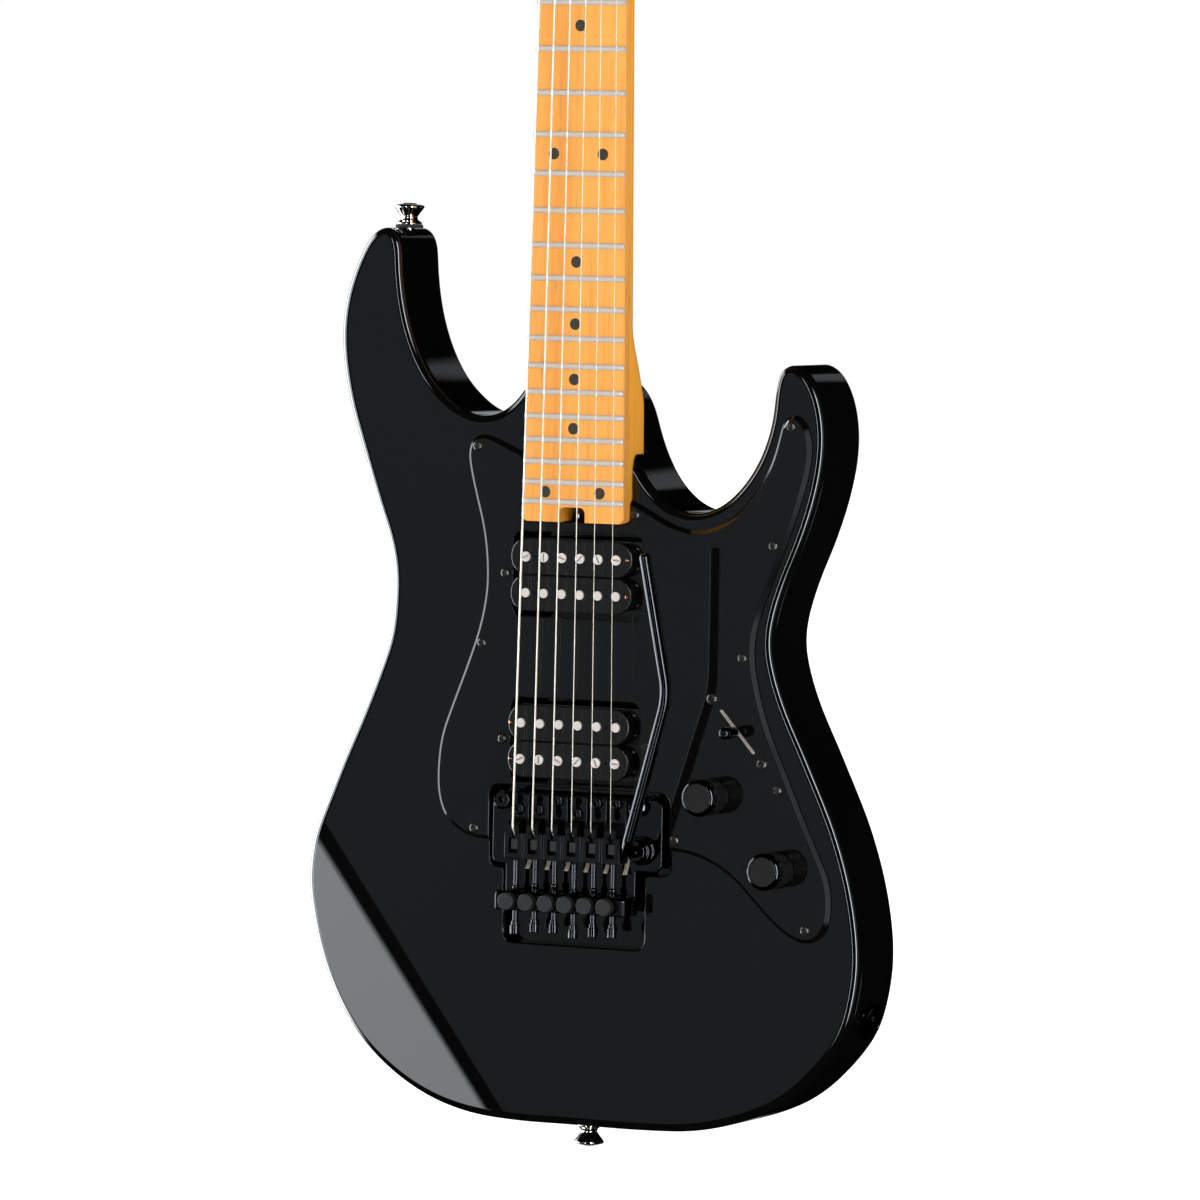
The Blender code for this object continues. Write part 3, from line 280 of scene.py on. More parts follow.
# %% Mix the maple
def make_maple(name, pale, deep, gloss):
    paint = Paint(name, IOR=1.48)
    bands = paint.noise(26.0, 5.0, paint.place((1.0, 1.0, 0.045)), 0.62)
    fibre = paint.noise(1500.0, 3.0, paint.place((1, 1, 0.02)))
    pores = paint.mask(paint.noise(850.0, 2.0, paint.place((1, 1, 0.055)), 0.5), 0.66, 0.76)
    flecks = paint.mask(paint.noise(300.0, 3.0, paint.place((1, 1, 0.3))), 0.60, 0.74)
    blotch = paint.noise(38.0, 3.0, paint.place((1, 1, 0.5)))
    wood = paint.ramp(bands, (0.30, deep), (0.52, pale), (0.72, grey(0.93, pale)))
    streaks = paint.mask(paint.noise(420.0, 3.0, paint.place((1, 1, 0.022)), 0.6), 0.48, 0.66)
    wood = paint.mix(fibre * 0.35, wood, grey(0.80, deep))
    wood = paint.mix(streaks * 0.42, wood, grey(0.86, deep))
    wood = paint.mix(blotch.power(2.0) * 0.45, wood, deep)
    wood = paint.mix(flecks * 0.28, wood, grey(1.12, pale))
    wood = paint.mix(pores * 0.55, wood, grey(0.45, deep))
    return paint.feed(Base_Color=wood, Roughness=gloss + fibre * 0.12 + pores * 0.15,
                      Normal=paint.bump(fibre - pores * 0.6, 0.10, 0.0001))


MAPLE = make_maple("amber_maple", (0.86, 0.375, 0.028), (0.72, 0.25, 0.015), 0.24)
BOARD_MAPLE = make_maple("amber_board", (0.74, 0.330, 0.055), (0.58, 0.205, 0.024), 0.30)
print("made", MAPLE.name, "and", BOARD_MAPLE.name)

# %% [markdown]
# ## Metals, moulded black and felt
# Black hardware is steel with a black chrome plate: it mirrors, but dimly. The saddles and
# screws of the tremolo have a duller black. Nickel, fret wire and string steel are bright and
# warm, with fine drawing or turning lines. The bobbins are moulded, and felt rings sit under
# the strap buttons.

# %% Mix the metals
def make_metal(name, colour, rough, grain=(1, 1, 1), fineness=900.0, wear=0.3, metallic=1.0,
               depth=0.05):
    """A plated metal with fine lines along `grain` and cloudy wear in its sheen."""
    paint = Paint(name, Metallic=metallic)
    lines = paint.noise(fineness, 3.0, paint.place(grain))
    cloud = paint.noise(120.0, 3.0)
    pits = paint.mask(paint.noise(1900.0, 1.0), 0.74, 0.80)
    tone = paint.mix(cloud * wear, colour, grey(0.72, colour))
    tone = paint.mix(pits * 0.35, tone, grey(0.5, colour))
    sheen = rough * 0.75 + lines * rough * 0.35 + cloud * rough * 0.25
    return paint.feed(Base_Color=tone, Roughness=sheen, Normal=paint.bump(lines, depth, 0.00004))


BLACK_CHROME = make_metal("dark_chrome", (0.042, 0.044, 0.048), 0.055, fineness=90.0, depth=0.0008)
BLACK_STEEL = make_metal("black_steel", (0.040, 0.041, 0.044), 0.34, (1, 0.2, 1), 1400.0)
DULL_BLACK = make_metal("dull_black", (0.030, 0.031, 0.032), 0.50, fineness=2400.0, metallic=0.55)
NICKEL = make_metal("warm_nickel", (0.78, 0.72, 0.66), 0.12)
FRET_WIRE = make_metal("fret_wire", (0.56, 0.52, 0.47), 0.30, (0.05, 1, 1), 1800.0, metallic=0.35)
POLE_NICKEL = make_metal("pole_nickel", (0.62, 0.575, 0.535), 0.36, fineness=1800.0, metallic=0.3)
COPPER = make_metal("copper", (0.85, 0.32, 0.20), 0.25)
SPRING_STEEL = make_metal("spring_steel", (0.60, 0.52, 0.42), 0.20, (1, 1, 0.1), 1500.0,
                          metallic=0.5)
SCREW_GREY = make_metal("screw_grey", (0.10, 0.095, 0.092), 0.16, metallic=0.9)
PLATED_STEEL = make_metal("plated_steel", (0.52, 0.52, 0.51), 0.30, (1, 0.2, 1), 1200.0)


def make_bobbin():
    paint = Paint("moulded_black", IOR=1.5)
    grain = paint.noise(1600.0, 3.0)
    cloud = paint.noise(60.0, 3.0)
    return paint.feed(Base_Color=paint.mix(cloud, grey(0.002), grey(0.005)),
                      Roughness=0.05 + grain * 0.05 + cloud * 0.05,
                      Normal=paint.bump(grain, 0.02, 0.00004))


def make_felt():
    paint = Paint("black_felt")
    fuzz = paint.noise(2600.0, 4.0)
    clumps = paint.noise(500.0, 3.0)
    return paint.feed(Base_Color=paint.mix(fuzz, grey(0.004), grey(0.030)),
                      Roughness=0.9 + clumps * 0.1, Normal=paint.bump(fuzz + clumps, 0.8, 0.0006))


def make_inlay():
    paint = Paint("dark_inlay", IOR=1.5)
    cloud = paint.noise(700.0, 3.0)
    return paint.feed(Base_Color=paint.mix(cloud, (0.018, 0.014, 0.008), (0.045, 0.034, 0.022)),
                      Roughness=0.28 + cloud * 0.2)


def make_string_metal():
    """Wound strings show the turns of their wrap, a fine wave along the string."""
    paint = Paint("string_wire", Metallic=0.5)
    wrap = paint.node("ShaderNodeTexWave", {"wave_type": "BANDS", "bands_direction": "Z"},
                      {"Vector": paint.place(), "Scale": 900.0})
    cloud = paint.noise(260.0, 3.0)
    return paint.feed(Base_Color=paint.mix(cloud, (0.78, 0.72, 0.64), (0.60, 0.54, 0.47)),
                      Roughness=0.22 + cloud * 0.16 + wrap * 0.05,
                      Normal=paint.bump(wrap, 0.25, 0.00008))


BOBBIN, FELT, INLAY, STRING_STEEL = make_bobbin(), make_felt(), make_inlay(), make_string_metal()
print("made", len(bpy.data.materials), "finishes in all")

# %% [markdown]
# ## Shape helpers
# Almost every piece here is a chain of rings: a turned screw is rings of one circle, a plate is
# two rings of one outline, the neck is rings that change from slice to slice. `loft` joins
# them, and the other helpers only make rings for it. Because the rings are made by formulas, a
# curve can have as many points as its highlights need.

# %% Outlines
def smooth_loop(points, step, soften=0):
    """Even points, about `step` apart, on a closed curve through given ones."""
    fine, count = [], len(points)
    for i in range(count):
        p0, p1, p2, p3 = (Vector(points[(i + k) % count]) for k in (-1, 0, 1, 2))
        spans = [max((b - a).length, 1e-6) ** 0.5 for a, b in ((p0, p1), (p1, p2), (p2, p3))]
        t1, t2, t3 = spans[0], spans[0] + spans[1], sum(spans)
        for k in range(24):
            t = t1 + (t2 - t1) * k / 24
            a1, a2 = p0.lerp(p1, t / t1), p1.lerp(p2, (t - t1) / (t2 - t1))
            a3 = p2.lerp(p3, (t - t2) / (t3 - t2))
            b1, b2 = a1.lerp(a2, t / t2), a2.lerp(a3, (t - t1) / (t3 - t1))
            fine.append(b1.lerp(b2, (t - t1) / (t2 - t1)))
    lengths = [0.0]
    for i, point in enumerate(fine):
        lengths.append(lengths[-1] + (fine[(i + 1) % len(fine)] - point).length)
    even, at, total = [], 0, round(lengths[-1] / step)
    for k in range(total):
        goal = lengths[-1] * k / total
        while lengths[at + 1] < goal:
            at += 1
        share = (goal - lengths[at]) / (lengths[at + 1] - lengths[at])
        even.append(fine[at].lerp(fine[(at + 1) % len(fine)], share))
    for _ in range(soften):
        even = [(even[i - 1] + 2 * p + even[(i + 1) % total]) / 4 for i, p in enumerate(even)]
    return even


def inset(loop, distance):
    """A counter-clockwise loop moved inwards."""
    moved = []
    for i, point in enumerate(loop):
        along = (loop[(i + 1) % len(loop)] - loop[i - 1]).normalized()
        moved.append(point + Vector((-along.y, along.x)) * distance)
    return moved


def round_corners(corners, radius, steps=6):
    """A counter-clockwise polygon with each corner rounded. A corner may carry its own radius."""
    result, count = [], len(corners)
    for i, corner in enumerate(corners):
        here = Vector(corner[:2])
        before = Vector(corners[i - 1][:2]) - here
        after = Vector(corners[(i + 1) % count][:2]) - here
        r = corner[2] if len(corner) > 2 else radius
        a, b = before.normalized(), after.normalized()
        half = a.angle(b) / 2
        reach = min(r / math.tan(half), before.length * 0.49, after.length * 0.49)
        r = reach * math.tan(half)
        centre = here + (a + b).normalized() * (r / math.sin(half))
        start, end = here + a * reach - centre, here + b * reach - centre
        for k in range(steps + 1):
            result.append(centre + start.slerp(end, k / steps) * r)
    return result


def rounded_box(low, high, radius, steps=6):
    (left, bottom), (right, top) = low, high
    corners = ((left, bottom), (right, bottom), (right, top), (left, top))
    return round_corners(corners, radius, steps)


print("a rounded box has", len(rounded_box((0, 0), (10, 5), 1)), "points")

# %% Rings into solids
def loft(rings, closed=False):
    """Quads between rings of equal length. Open chains get end caps, closed ones join up."""
    bm = bmesh.new()
    layers = [[bm.verts.new(p) for p in ring] for ring in rings]
    pairs = list(zip(layers, layers[1:]))
    if closed:
        pairs.append((layers[-1], layers[0]))
    else:
        bm.faces.new(reversed(layers[0]))
        bm.faces.new(layers[-1])
    count = len(layers[0])
    for a, b in pairs:
        for i in range(count):
            j = (i + 1) % count
            bm.faces.new((a[i], a[j], b[j], b[i]))
    if bm.calc_volume(signed=True) < 0:
        bmesh.ops.reverse_faces(bm, faces=bm.faces)
    return bm


def slab(outline, near, far, edge=0.0, steps=3, both=False):
    """An (x, z) outline extruded along Y, with its near rim (or both rims) rounded by `edge`."""
    rings = []
    for k in range(steps + 1 if edge else 1):
        angle = math.pi / 2 * k / steps if edge else math.pi / 2
        rings.append((edge * (1 - math.sin(angle)), near + edge * (1 - math.cos(angle))))
    if both and edge:
        rings += [(shift, near + far - y) for shift, y in reversed(rings)]
    else:
        rings.append((0.0, far))
    return loft([[Vector((p.x, y, p.y)) for p in (inset(outline, shift) if shift else outline)]
                 for shift, y in rings])


def side_slab(outline, left, right):
    """A (y, z) outline extruded along X."""
    return loft([[Vector((x, p[0], p[1])) for p in outline] for x in (left, right)])


def lipped_cutter(outline, lip, near, surface, far):
    """A cutter along Y that leaves a rounded lip where it enters the surface."""
    rings = [(lip, near)]
    for k in range(5):
        angle = math.pi / 2 * k / 4
        rings.append((lip * (1 - math.sin(angle)), surface + lip * (1 - math.cos(angle))))
    rings.append((0.0, far))
    return loft([[Vector((p.x, y, p.y)) for p in inset(outline, -shift)] for shift, y in rings])


def facing(at, direction, roll=0.0):
    """A frame at a point, with its local Z along the direction."""
    turn = Vector((0, 0, 1)).rotation_difference(Vector(direction)).to_matrix().to_4x4()
    return Matrix.Translation(Vector(at)) @ turn @ Matrix.Rotation(math.radians(roll), 4, "Z")


def lathe(profile, frame_, sides=40, closed=False, shape=None):
    """A profile of (radius, height) turned about the frame's Z. `shape` may bend the circle."""
    rings = []
    for r, h in profile:
        ring = []
        for k in range(sides):
            a = 2 * math.pi * k / sides
            reach = r * (shape(a, r, h) if shape else 1)
            ring.append(Vector((reach * math.cos(a), reach * math.sin(a), h)))
        rings.append(ring)
    bm = loft(rings, closed)
    bm.transform(frame_)
    return bm


def drill(at, radius, low, high, sides=40):
    """A straight bore along Y, from `low` to `high` behind a point."""
    return lathe([(radius, low), (radius, high)], facing(at, (0, 1, 0)), sides)


def tube(path, radius, sides=12, taper=None):
    """A round tube along a list of points. `taper` may give each point its own radius."""
    rings, up = [], Vector((1, 0, 0))
    for i, point in enumerate(path):
        along = (path[min(i + 1, len(path) - 1)] - path[max(i - 1, 0)]).normalized()
        side = along.cross(up).normalized()
        up = side.cross(along).normalized()
        r = taper[i] if taper else radius
        turn = [2 * math.pi * k / sides for k in range(sides)]
        rings.append([point + (side * math.cos(a) + up * math.sin(a)) * r for a in turn])
    return loft(rings)


def joined(*meshes):
    """Several closed meshes in one."""
    result = bmesh.new()
    for bm in meshes:
        scratch = bpy.data.meshes.new("scratch")
        bm.to_mesh(scratch)
        bm.free()
        result.from_mesh(scratch)
        bpy.data.meshes.remove(scratch)
    return result


print("loft, slab, lathe and tube are ready")

# %% [markdown]
# ## Making a piece
# `make_piece` turns a shape into an object: it scales it to metres, smooths it, gives it its
# finish and lets it ride its body. Holes are cut by Booleans that are applied
# at once, so the finished mesh is what gets shaded. Weighted normals then keep large faces flat
# and let the narrow rounded rims carry the highlights.

# %% make_piece
made = []


def object_from(name, bm):
    bm.transform(Matrix.Scale(MM, 4))
    mesh = bpy.data.meshes.new(name)
    bm.to_mesh(mesh)
    bm.free()
    obj = bpy.data.objects.new(name, mesh)
    bpy.context.scene.collection.objects.link(obj)
    return obj


def apply_modifiers(obj):
    evaluated = obj.evaluated_get(bpy.context.evaluated_depsgraph_get())
    mesh = bpy.data.meshes.new_from_object(evaluated)
    obj.modifiers.clear()
    obj.data = mesh


def make_piece(name, bm, finish, body, stands_for=(), cuts=(), adds=(), bevel=0.0, angle=32):
    """An object in metres that rides its body. `cuts` and `adds` are bmeshes in millimetres."""
    obj = object_from(name, bm)
    helpers = []
    for operation, shapes in (("UNION", adds), ("DIFFERENCE", cuts)):
        for shape in shapes:
            helper = object_from(name + "_helper", shape)
            helpers.append(helper)
            modifier = obj.modifiers.new("boolean", "BOOLEAN")
            modifier.operation, modifier.object, modifier.solver = operation, helper, "EXACT"
    if helpers:
        apply_modifiers(obj)
        for helper in helpers:
            bpy.data.objects.remove(helper)
    if bevel:
        modifier = obj.modifiers.new("rim", "BEVEL")
        modifier.width, modifier.segments, modifier.limit_method = bevel * MM, 2, "ANGLE"
        modifier.angle_limit = math.radians(40)
        apply_modifiers(obj)
    obj.data.shade_smooth()
    obj.data.set_sharp_from_angle(angle=math.radians(angle))
    modifier = obj.modifiers.new("flat_faces", "WEIGHTED_NORMAL")
    modifier.keep_sharp, modifier.weight = True, 60
    obj.data.materials.clear()
    obj.data.materials.append(finish)
    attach(obj, body)
    if stands_for:
        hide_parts(*([stands_for] if isinstance(stands_for, str) else stands_for))
    made.append(obj)
    return obj


def put(obj, matrix):
    """Moves an object by a matrix in millimetres."""
    place = matrix.copy()
    place.translation *= MM
    obj.matrix_world = place


def copy_piece(source, name, matrix, body):
    """Another object with the same mesh, placed by a matrix in millimetres."""
    obj = bpy.data.objects.new(name, source.data)
    for modifier in source.modifiers:
        twin = obj.modifiers.new(modifier.name, modifier.type)
        twin.keep_sharp, twin.weight = modifier.keep_sharp, modifier.weight
    bpy.context.scene.collection.objects.link(obj)
    put(obj, matrix)
    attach(obj, body)
    made.append(obj)
    return obj


print("ready to make pieces")

# %% [markdown]
# ## The body
# The real body is one slab of wood with a rounded edge all the way round and a flat bevel where
# the forearm rests. A Boolean could cut the bevel, but its edge would stay sharp. Here the
# bevel is part of the surface: `bevel_drop` says how far the front falls at each place, the
# rounded edge follows it, and the front face gets extra lines along the crease so that it can
# bend there.

# %% The body's outline
BODY_POINTS = (
    (0, 12), (38, 12), (68, 13.8), (96, 21), (118, 31.5), (137, 48.5), (149.5, 66), (155.2, 86),
    (156.7, 106), (152.8, 134), (143.6, 164), (127.9, 198), (113.7, 227), (107.4, 246),
    (106, 257), (107.6, 269), (113, 286), (121.3, 306), (128, 326), (131.9, 345.5), (132.2, 362),
    (128.6, 378), (121.5, 389.5), (113, 393.2), (106.6, 389.5), (104.3, 380), (102.4, 364),
    (96, 345.5), (84.5, 329.5), (73, 321), (62, 318.2), (52, 320), (43.6, 325), (36.6, 332),
    (31.2, 340), (26.8, 349), (23.4, 358.5), (20, 369), (13.5, 379), (2, 384.8), (-13, 386.5),
    (-25, 384.5), (-33, 378), (-39, 370.5), (-47, 364.8), (-56.5, 362.6), (-66, 364.6),
    (-75.5, 370.6), (-85, 380), (-92.4, 392), (-98, 406), (-101.6, 421), (-103.4, 436),
    (-104.3, 447.5), (-108, 454.2), (-114, 455.8), (-120.5, 452.5), (-125.6, 445.5), (-131, 434),
    (-135.4, 420), (-137.4, 405), (-136.6, 389), (-132.4, 368), (-124.6, 344), (-115.3, 317.5),
    (-108.2, 298.5), (-105.3, 284), (-105.2, 268), (-107.2, 251), (-112.6, 235), (-122, 212),
    (-133.5, 186.5), (-143, 163.5), (-150.3, 146), (-154.2, 126), (-152.9, 108), (-148.4, 87),
    (-139.4, 65.5), (-126, 46.5), (-108, 31.5), (-86, 20.2), (-62, 14), (-32, 12),
)
BEVEL_START, BEVEL_END = Vector((-150.0, 161.5)), Vector((-38.5, 16.0))
BEVEL_SLOPE = math.tan(math.radians(12.2))
CREASE_FROM, CREASE_TO = -6.0, 10.0
bevel_along = (BEVEL_END - BEVEL_START).normalized()
bevel_out = Vector((bevel_along.y, -bevel_along.x))
bevel_out = -bevel_out if bevel_out.x > 0 else bevel_out


def bevel_drop(x, z):
    """How far the forearm bevel lies behind the flat front, with a soft crease at its start."""
    side = (Vector((x, z)) - BEVEL_START).dot(bevel_out) - CREASE_FROM
    span = CREASE_TO - CREASE_FROM
    if side < 0:
        return 0.0
    if side > span:
        return (side - span / 2) * BEVEL_SLOPE
    return side ** 2 / (2 * span) * BEVEL_SLOPE


body_loop = smooth_loop(BODY_POINTS, 2.0, soften=6)
print("the outline has", len(body_loop), "points")

# %% The body's slab
EDGE_RADIUS, EDGE_STEPS = 4.5, 10


def body_slab():
    rings = []
    for side in (-1, 1):
        for k in range(EDGE_STEPS + 1):
            angle = math.pi / 2 * (k if side < 0 else EDGE_STEPS - k) / EDGE_STEPS
            loop = inset(body_loop, EDGE_RADIUS * (1 - math.sin(angle)))
            y = side * (BACK - EDGE_RADIUS * (1 - math.cos(angle)))
            rings.append([Vector((p.x, y, p.y)) for p in loop])
    bm = loft(rings)
    for offset in [CREASE_FROM + (CREASE_TO - CREASE_FROM) * k / 16 for k in range(17)]:
        face = [f for f in bm.faces if len(f.verts) > 8 and f.normal.y < -0.9
                or abs(f.calc_center_median().y - FRONT) < 1e-4]
        parts = list({e for f in face for e in f.edges}) + list({v for f in face for v in f.verts})
        spot = BEVEL_START + bevel_out * offset
        bmesh.ops.bisect_plane(bm, geom=face + parts, dist=1e-5, plane_co=(spot.x, 0, spot.y),
                               plane_no=(bevel_out.x, 0, bevel_out.y))
    for vert in bm.verts:
        if vert.co.y < FRONT + EDGE_RADIUS + 0.01:
            vert.co.y += bevel_drop(vert.co.x, vert.co.z)
    return bm


def lipped(outline, far, lip=0.9):
    return lipped_cutter(outline, lip, FRONT - 8, FRONT, far)


recess = [(-47.0, 139.0, 5.5), (-39.0, 139.0, 3), (-39.0, 101.5, 5.5), (39.0, 101.5, 5.5),
          (39.0, 139.0, 3), (53.2, 139.0, 5.5), (53.2, 180.0, 5.5), (-47.0, 180.0, 5.5)]
pocket_low = HEEL_END - 0.7
POCKET_GAP, POCKET_HIGH = 0.4, 420
low_half, high_half = (board_half(z) + POCKET_GAP for z in (pocket_low, POCKET_HIGH))
pocket = [(-low_half, pocket_low, 3), (low_half, pocket_low, 3),
          (high_half, POCKET_HIGH, 0.1), (-high_half, POCKET_HIGH, 0.1)]
CONTROL_ROUT = (
    (66, 166), (84, 158), (97, 139), (113, 130), (126, 138), (126, 152), (112, 166),
    (104.5, 176), (105.5, 187), (110.6, 197), (106, 206), (98, 214), (89, 232), (72, 243),
    (62, 228), (66, 203), (61, 184),
)
body_cuts = [lipped(round_corners(recess, 5.5), FRONT + 8.5, 1.1),
             slab(round_corners(pocket, 3), FRONT - 20, NECK_TOP + HEEL_DEPTH + 0.3),
             slab(smooth_loop(CONTROL_ROUT, 6), FRONT - 8, FRONT + 33),
             slab(rounded_box((-31, 134), (31, 175.5), 4), FRONT - 8, BACK - 12),
             slab(rounded_box((-31, 95), (31, 262), 6), BACK - 16, BACK + 5),
             slab(rounded_box((-38.4, 87.6), (38.4, 269.4), 8.4), BACK - 2.4, BACK + 5)]
for pickup_z in (NECK_PICKUP_Z, BRIDGE_PICKUP_Z):
    rout = rounded_box((-45, pickup_z - 21), (45, pickup_z + 21), 5)
    body_cuts.append(slab(rout, FRONT - 8, FRONT + 17.5))
JACK_TURN = math.radians(-19.5)
jack_way = Vector((math.cos(JACK_TURN), 0, math.sin(JACK_TURN)))
jack_frame = facing((152.6, 0, 72.0), jack_way)
body_cuts.append(lathe([(7.4, -38), (7.4, 30)], jack_frame))
body = make_piece("body_wood", body_slab(), LACQUER, "instrument", "body",
                  cuts=body_cuts, angle=38)
print("the body has", len(body.data.polygons), "faces")

# %% [markdown]
# ## The pickguard
# The guard is cut from one sheet, and its rim is filed to a bevel. That bevel is what shows its
# outline on a black body, so it is modelled as two rings and not as a shading trick.

# %% Cut the pickguard
GUARD_POINTS = (
    (-44, 152), (-57.4, 152.9), (-66.5, 157), (-73.2, 163.6), (-76.7, 174), (-77.2, 187),
    (-75.2, 203), (-69.5, 219), (-61.5, 239.5), (-55, 258.5), (-51.7, 276), (-51.7, 291),
    (-54, 307.5), (-58.4, 323.5), (-62, 338), (-62.8, 346), (-59.4, 352.6), (-53, 354),
    (-45, 351), (-28, 343.5), (0, 330), (27.6, 324.2), (38, 319.2), (48, 314), (58, 310.8),
    (67, 310.2), (76, 312.6), (85, 318), (95, 328.8), (103, 341.2), (107.4, 353.4), (110.2, 364),
    (114.4, 368.8), (119.4, 368.2), (124, 362), (126.1, 352), (124.4, 339), (119.4, 321.8),
    (111.6, 300.2), (103.6, 279.4), (97.8, 262), (97, 249), (99.6, 233.8), (105.4, 215),
    (114.6, 194.6), (125, 172), (134.2, 153), (139.4, 141.6), (141, 129), (139.2, 117.6),
    (133.6, 111.6), (126.8, 110.2), (118.6, 113.2), (110, 119.2), (98.8, 129.8), (87, 140.6),
    (75, 147.4), (63, 151), (50, 152),
)
RIM_WIDE, RIM_DEEP = 2.0, 2.0
guard_loop = smooth_loop(GUARD_POINTS[::-1], 2.0, soften=5)[::-1]
if sum(a.cross(b) for a, b in zip(guard_loop, guard_loop[1:] + guard_loop[:1])) < 0:
    guard_loop = guard_loop[::-1]
guard_rings = ((RIM_WIDE + 0.25, GUARD_FRONT), (RIM_WIDE, GUARD_FRONT + 0.03),
               (RIM_WIDE - 0.2, GUARD_FRONT + 0.2), (0.0, GUARD_FRONT + RIM_DEEP),
               (0.0, GUARD_BACK))
guard_shape = loft([[Vector((p.x, y, p.y)) for p in inset(guard_loop, shift)]
                    for shift, y in guard_rings])
switch_along = (SWITCH_LOW - SWITCH_TOP).normalized()
switch_across = switch_along.cross(Vector((0, 1, 0)))
switch_middle = (SWITCH_TOP + SWITCH_LOW) / 2
switch_frame = Matrix.Identity(4)
for column, axis in enumerate((switch_along, Vector((0, 1, 0)), switch_across, switch_middle)):
    switch_frame.col[column] = (*axis, 1 if column == 3 else 0)


def guard_cutter(outline, lip=0.35):
    return lipped_cutter(outline, lip, FRONT - 10, GUARD_FRONT, FRONT + 5)


slot_cut = lipped_cutter(rounded_box((-14.2, -1.0), (14.2, 1.0), 0.95, 4), 0.25, FRONT - 10,
                         GUARD_FRONT, FRONT + 5)
slot_cut.transform(switch_frame)
guard_cuts = [slot_cut]
for pickup_z in (NECK_PICKUP_Z, BRIDGE_PICKUP_Z):
    hole = rounded_box((-35.8, pickup_z - 21.2), (35.8, pickup_z + 21.2), 5)
    guard_cuts.append(guard_cutter(hole))
guard_cuts.append(guard_cutter(rounded_box((-47, 119), (53.2, 180), 5.5), 0.6))
guard_cuts.append(guard_cutter(round_corners(pocket, 3), 0.3))
for _, x, z in KNOBS:
    guard_cuts.append(drill((x, FRONT - 10, z), 4.2, 0, 12))
guard = make_piece("guard_sheet", guard_shape, GUARD_PLASTIC, "instrument",
                   "pickguard", cuts=guard_cuts, angle=30)
print("the guard has", len(guard.data.polygons), "faces")

# %% [markdown]
# ## The neck
# A bolt-on neck starts as a squared heel that fills its pocket, eases into a round shaft and
# ends in a tilted headstock. One formula gives every slice: a superellipse, whose power says
# how square it is. The board glued on top is a slice of a cylinder, with a U notch for the
# truss rod's wrench.

# %% Shape the neck
def neck_slice(z, half, deep, square, count=36):
    ring = []
    for k in range(count + 1):
        a = math.pi * k / count
        x = half * math.copysign(abs(math.cos(a)) ** (2 / square), math.cos(a))
        ring.append(Vector((x, NECK_TOP + deep * math.sin(a) ** (2 / square), z)))
    return ring


HEEL_TOP, SHAFT_LOW = 371.0, 410.0
HEAD_POINTS = (
    (-21.2, 0), (21.2, 0), (22.5, 12), (24.2, 40), (27, 80), (30.5, 120), (36, 152), (42, 172),
    (41, 181), (33, 185.5), (20, 183), (9, 173.5), (2, 161), (-14, 105), (-33.5, 37), (-36, 26),
    (-32, 17), (-24.5, 10),
)
head_frame = Matrix((
    (1, 0, 0, 0), (0, math.sin(HEAD_TILT), -math.cos(HEAD_TILT), NECK_TOP),
    (0, math.cos(HEAD_TILT), math.sin(HEAD_TILT), HEAD_Z), (0, 0, 0, 1),
))


def post_at(index):
    return Vector((-21.3 + 7.1 * index, 32 + 25 * index, 0))


def neck_shape():
    slices = [neck_slice(HEEL_END, board_half(HEEL_END) - 2.2, HEEL_DEPTH - 0.2, 12),
              neck_slice(HEEL_END + 0.7, board_half(HEEL_END) - 0.9, HEEL_DEPTH, 12),
              neck_slice(HEEL_END + 2.4, board_half(HEEL_END), HEEL_DEPTH, 12)]
    for k in range(9):
        z = HEEL_END + 6 + (HEEL_TOP - HEEL_END - 6) * k / 8
        slices.append(neck_slice(z, board_half(z), HEEL_DEPTH, 12))
    for k in range(1, 17):
        share = k / 16
        ease = share * share * (3 - 2 * share)
        z = HEEL_TOP + (SHAFT_LOW - HEEL_TOP) * share
        slices.append(neck_slice(z, board_half(z), HEEL_DEPTH + (DEPTH_MID - HEEL_DEPTH) * ease,
                                 12 + (2.4 - 12) * ease ** 0.35))
    for k in range(1, 17):
        z = SHAFT_LOW + (NUT_Z - SHAFT_LOW) * k / 16
        deep = DEPTH_MID + (DEPTH_NUT - DEPTH_MID) * k / 16
        slices.append(neck_slice(z, board_half(z), deep, 2.4))
    slices.append(neck_slice(HEAD_Z - 9, NUT_WIDTH / 2, DEPTH_NUT + 0.4, 2.6))
    slices.append(neck_slice(HEAD_Z - 4, NUT_WIDTH / 2, DEPTH_NUT + 1.2, 3.2))
    for v, square in ((2, 5), (8, 6)):
        flat = neck_slice(0, NUT_WIDTH / 2, HEAD_THICK - 1, square)
        slices.append([head_frame @ Vector((p.x, v, NECK_TOP - p.y - 0.3)) for p in flat])
    return loft(slices)


def head_slab():
    smooth = smooth_loop(HEAD_POINTS, 3.0, soften=1)
    bm = slab(smooth, 0, HEAD_THICK, edge=1.8, steps=4, both=True)
    bm.transform(head_frame @ Matrix(((1, 0, 0, 0), (0, 0, 1, 0), (0, -1, 0, 0), (0, 0, 0, 1))))
    return bm


wrench_notch = [(-7.2, BOARD_END - 5, 0.1), (7.2, BOARD_END - 5, 0.1), (7.2, BOARD_END + 7.4, 3.2),
                (-7.2, BOARD_END + 7.4, 3.2)]
post_bores = [slab(round_corners(wrench_notch, 3), NECK_TOP - 2, NECK_TOP + 9)]
for index in range(6):
    bore = lathe([(3.3, -19), (3.3, 5)], Matrix.Translation(post_at(index)), 24)
    bore.transform(head_frame)
    post_bores.append(bore)
neck = make_piece("neck_wood", neck_shape(), MAPLE, "instrument", "neck",
                  adds=[head_slab()], cuts=post_bores, angle=40)
print("the neck has", len(neck.data.polygons), "faces")

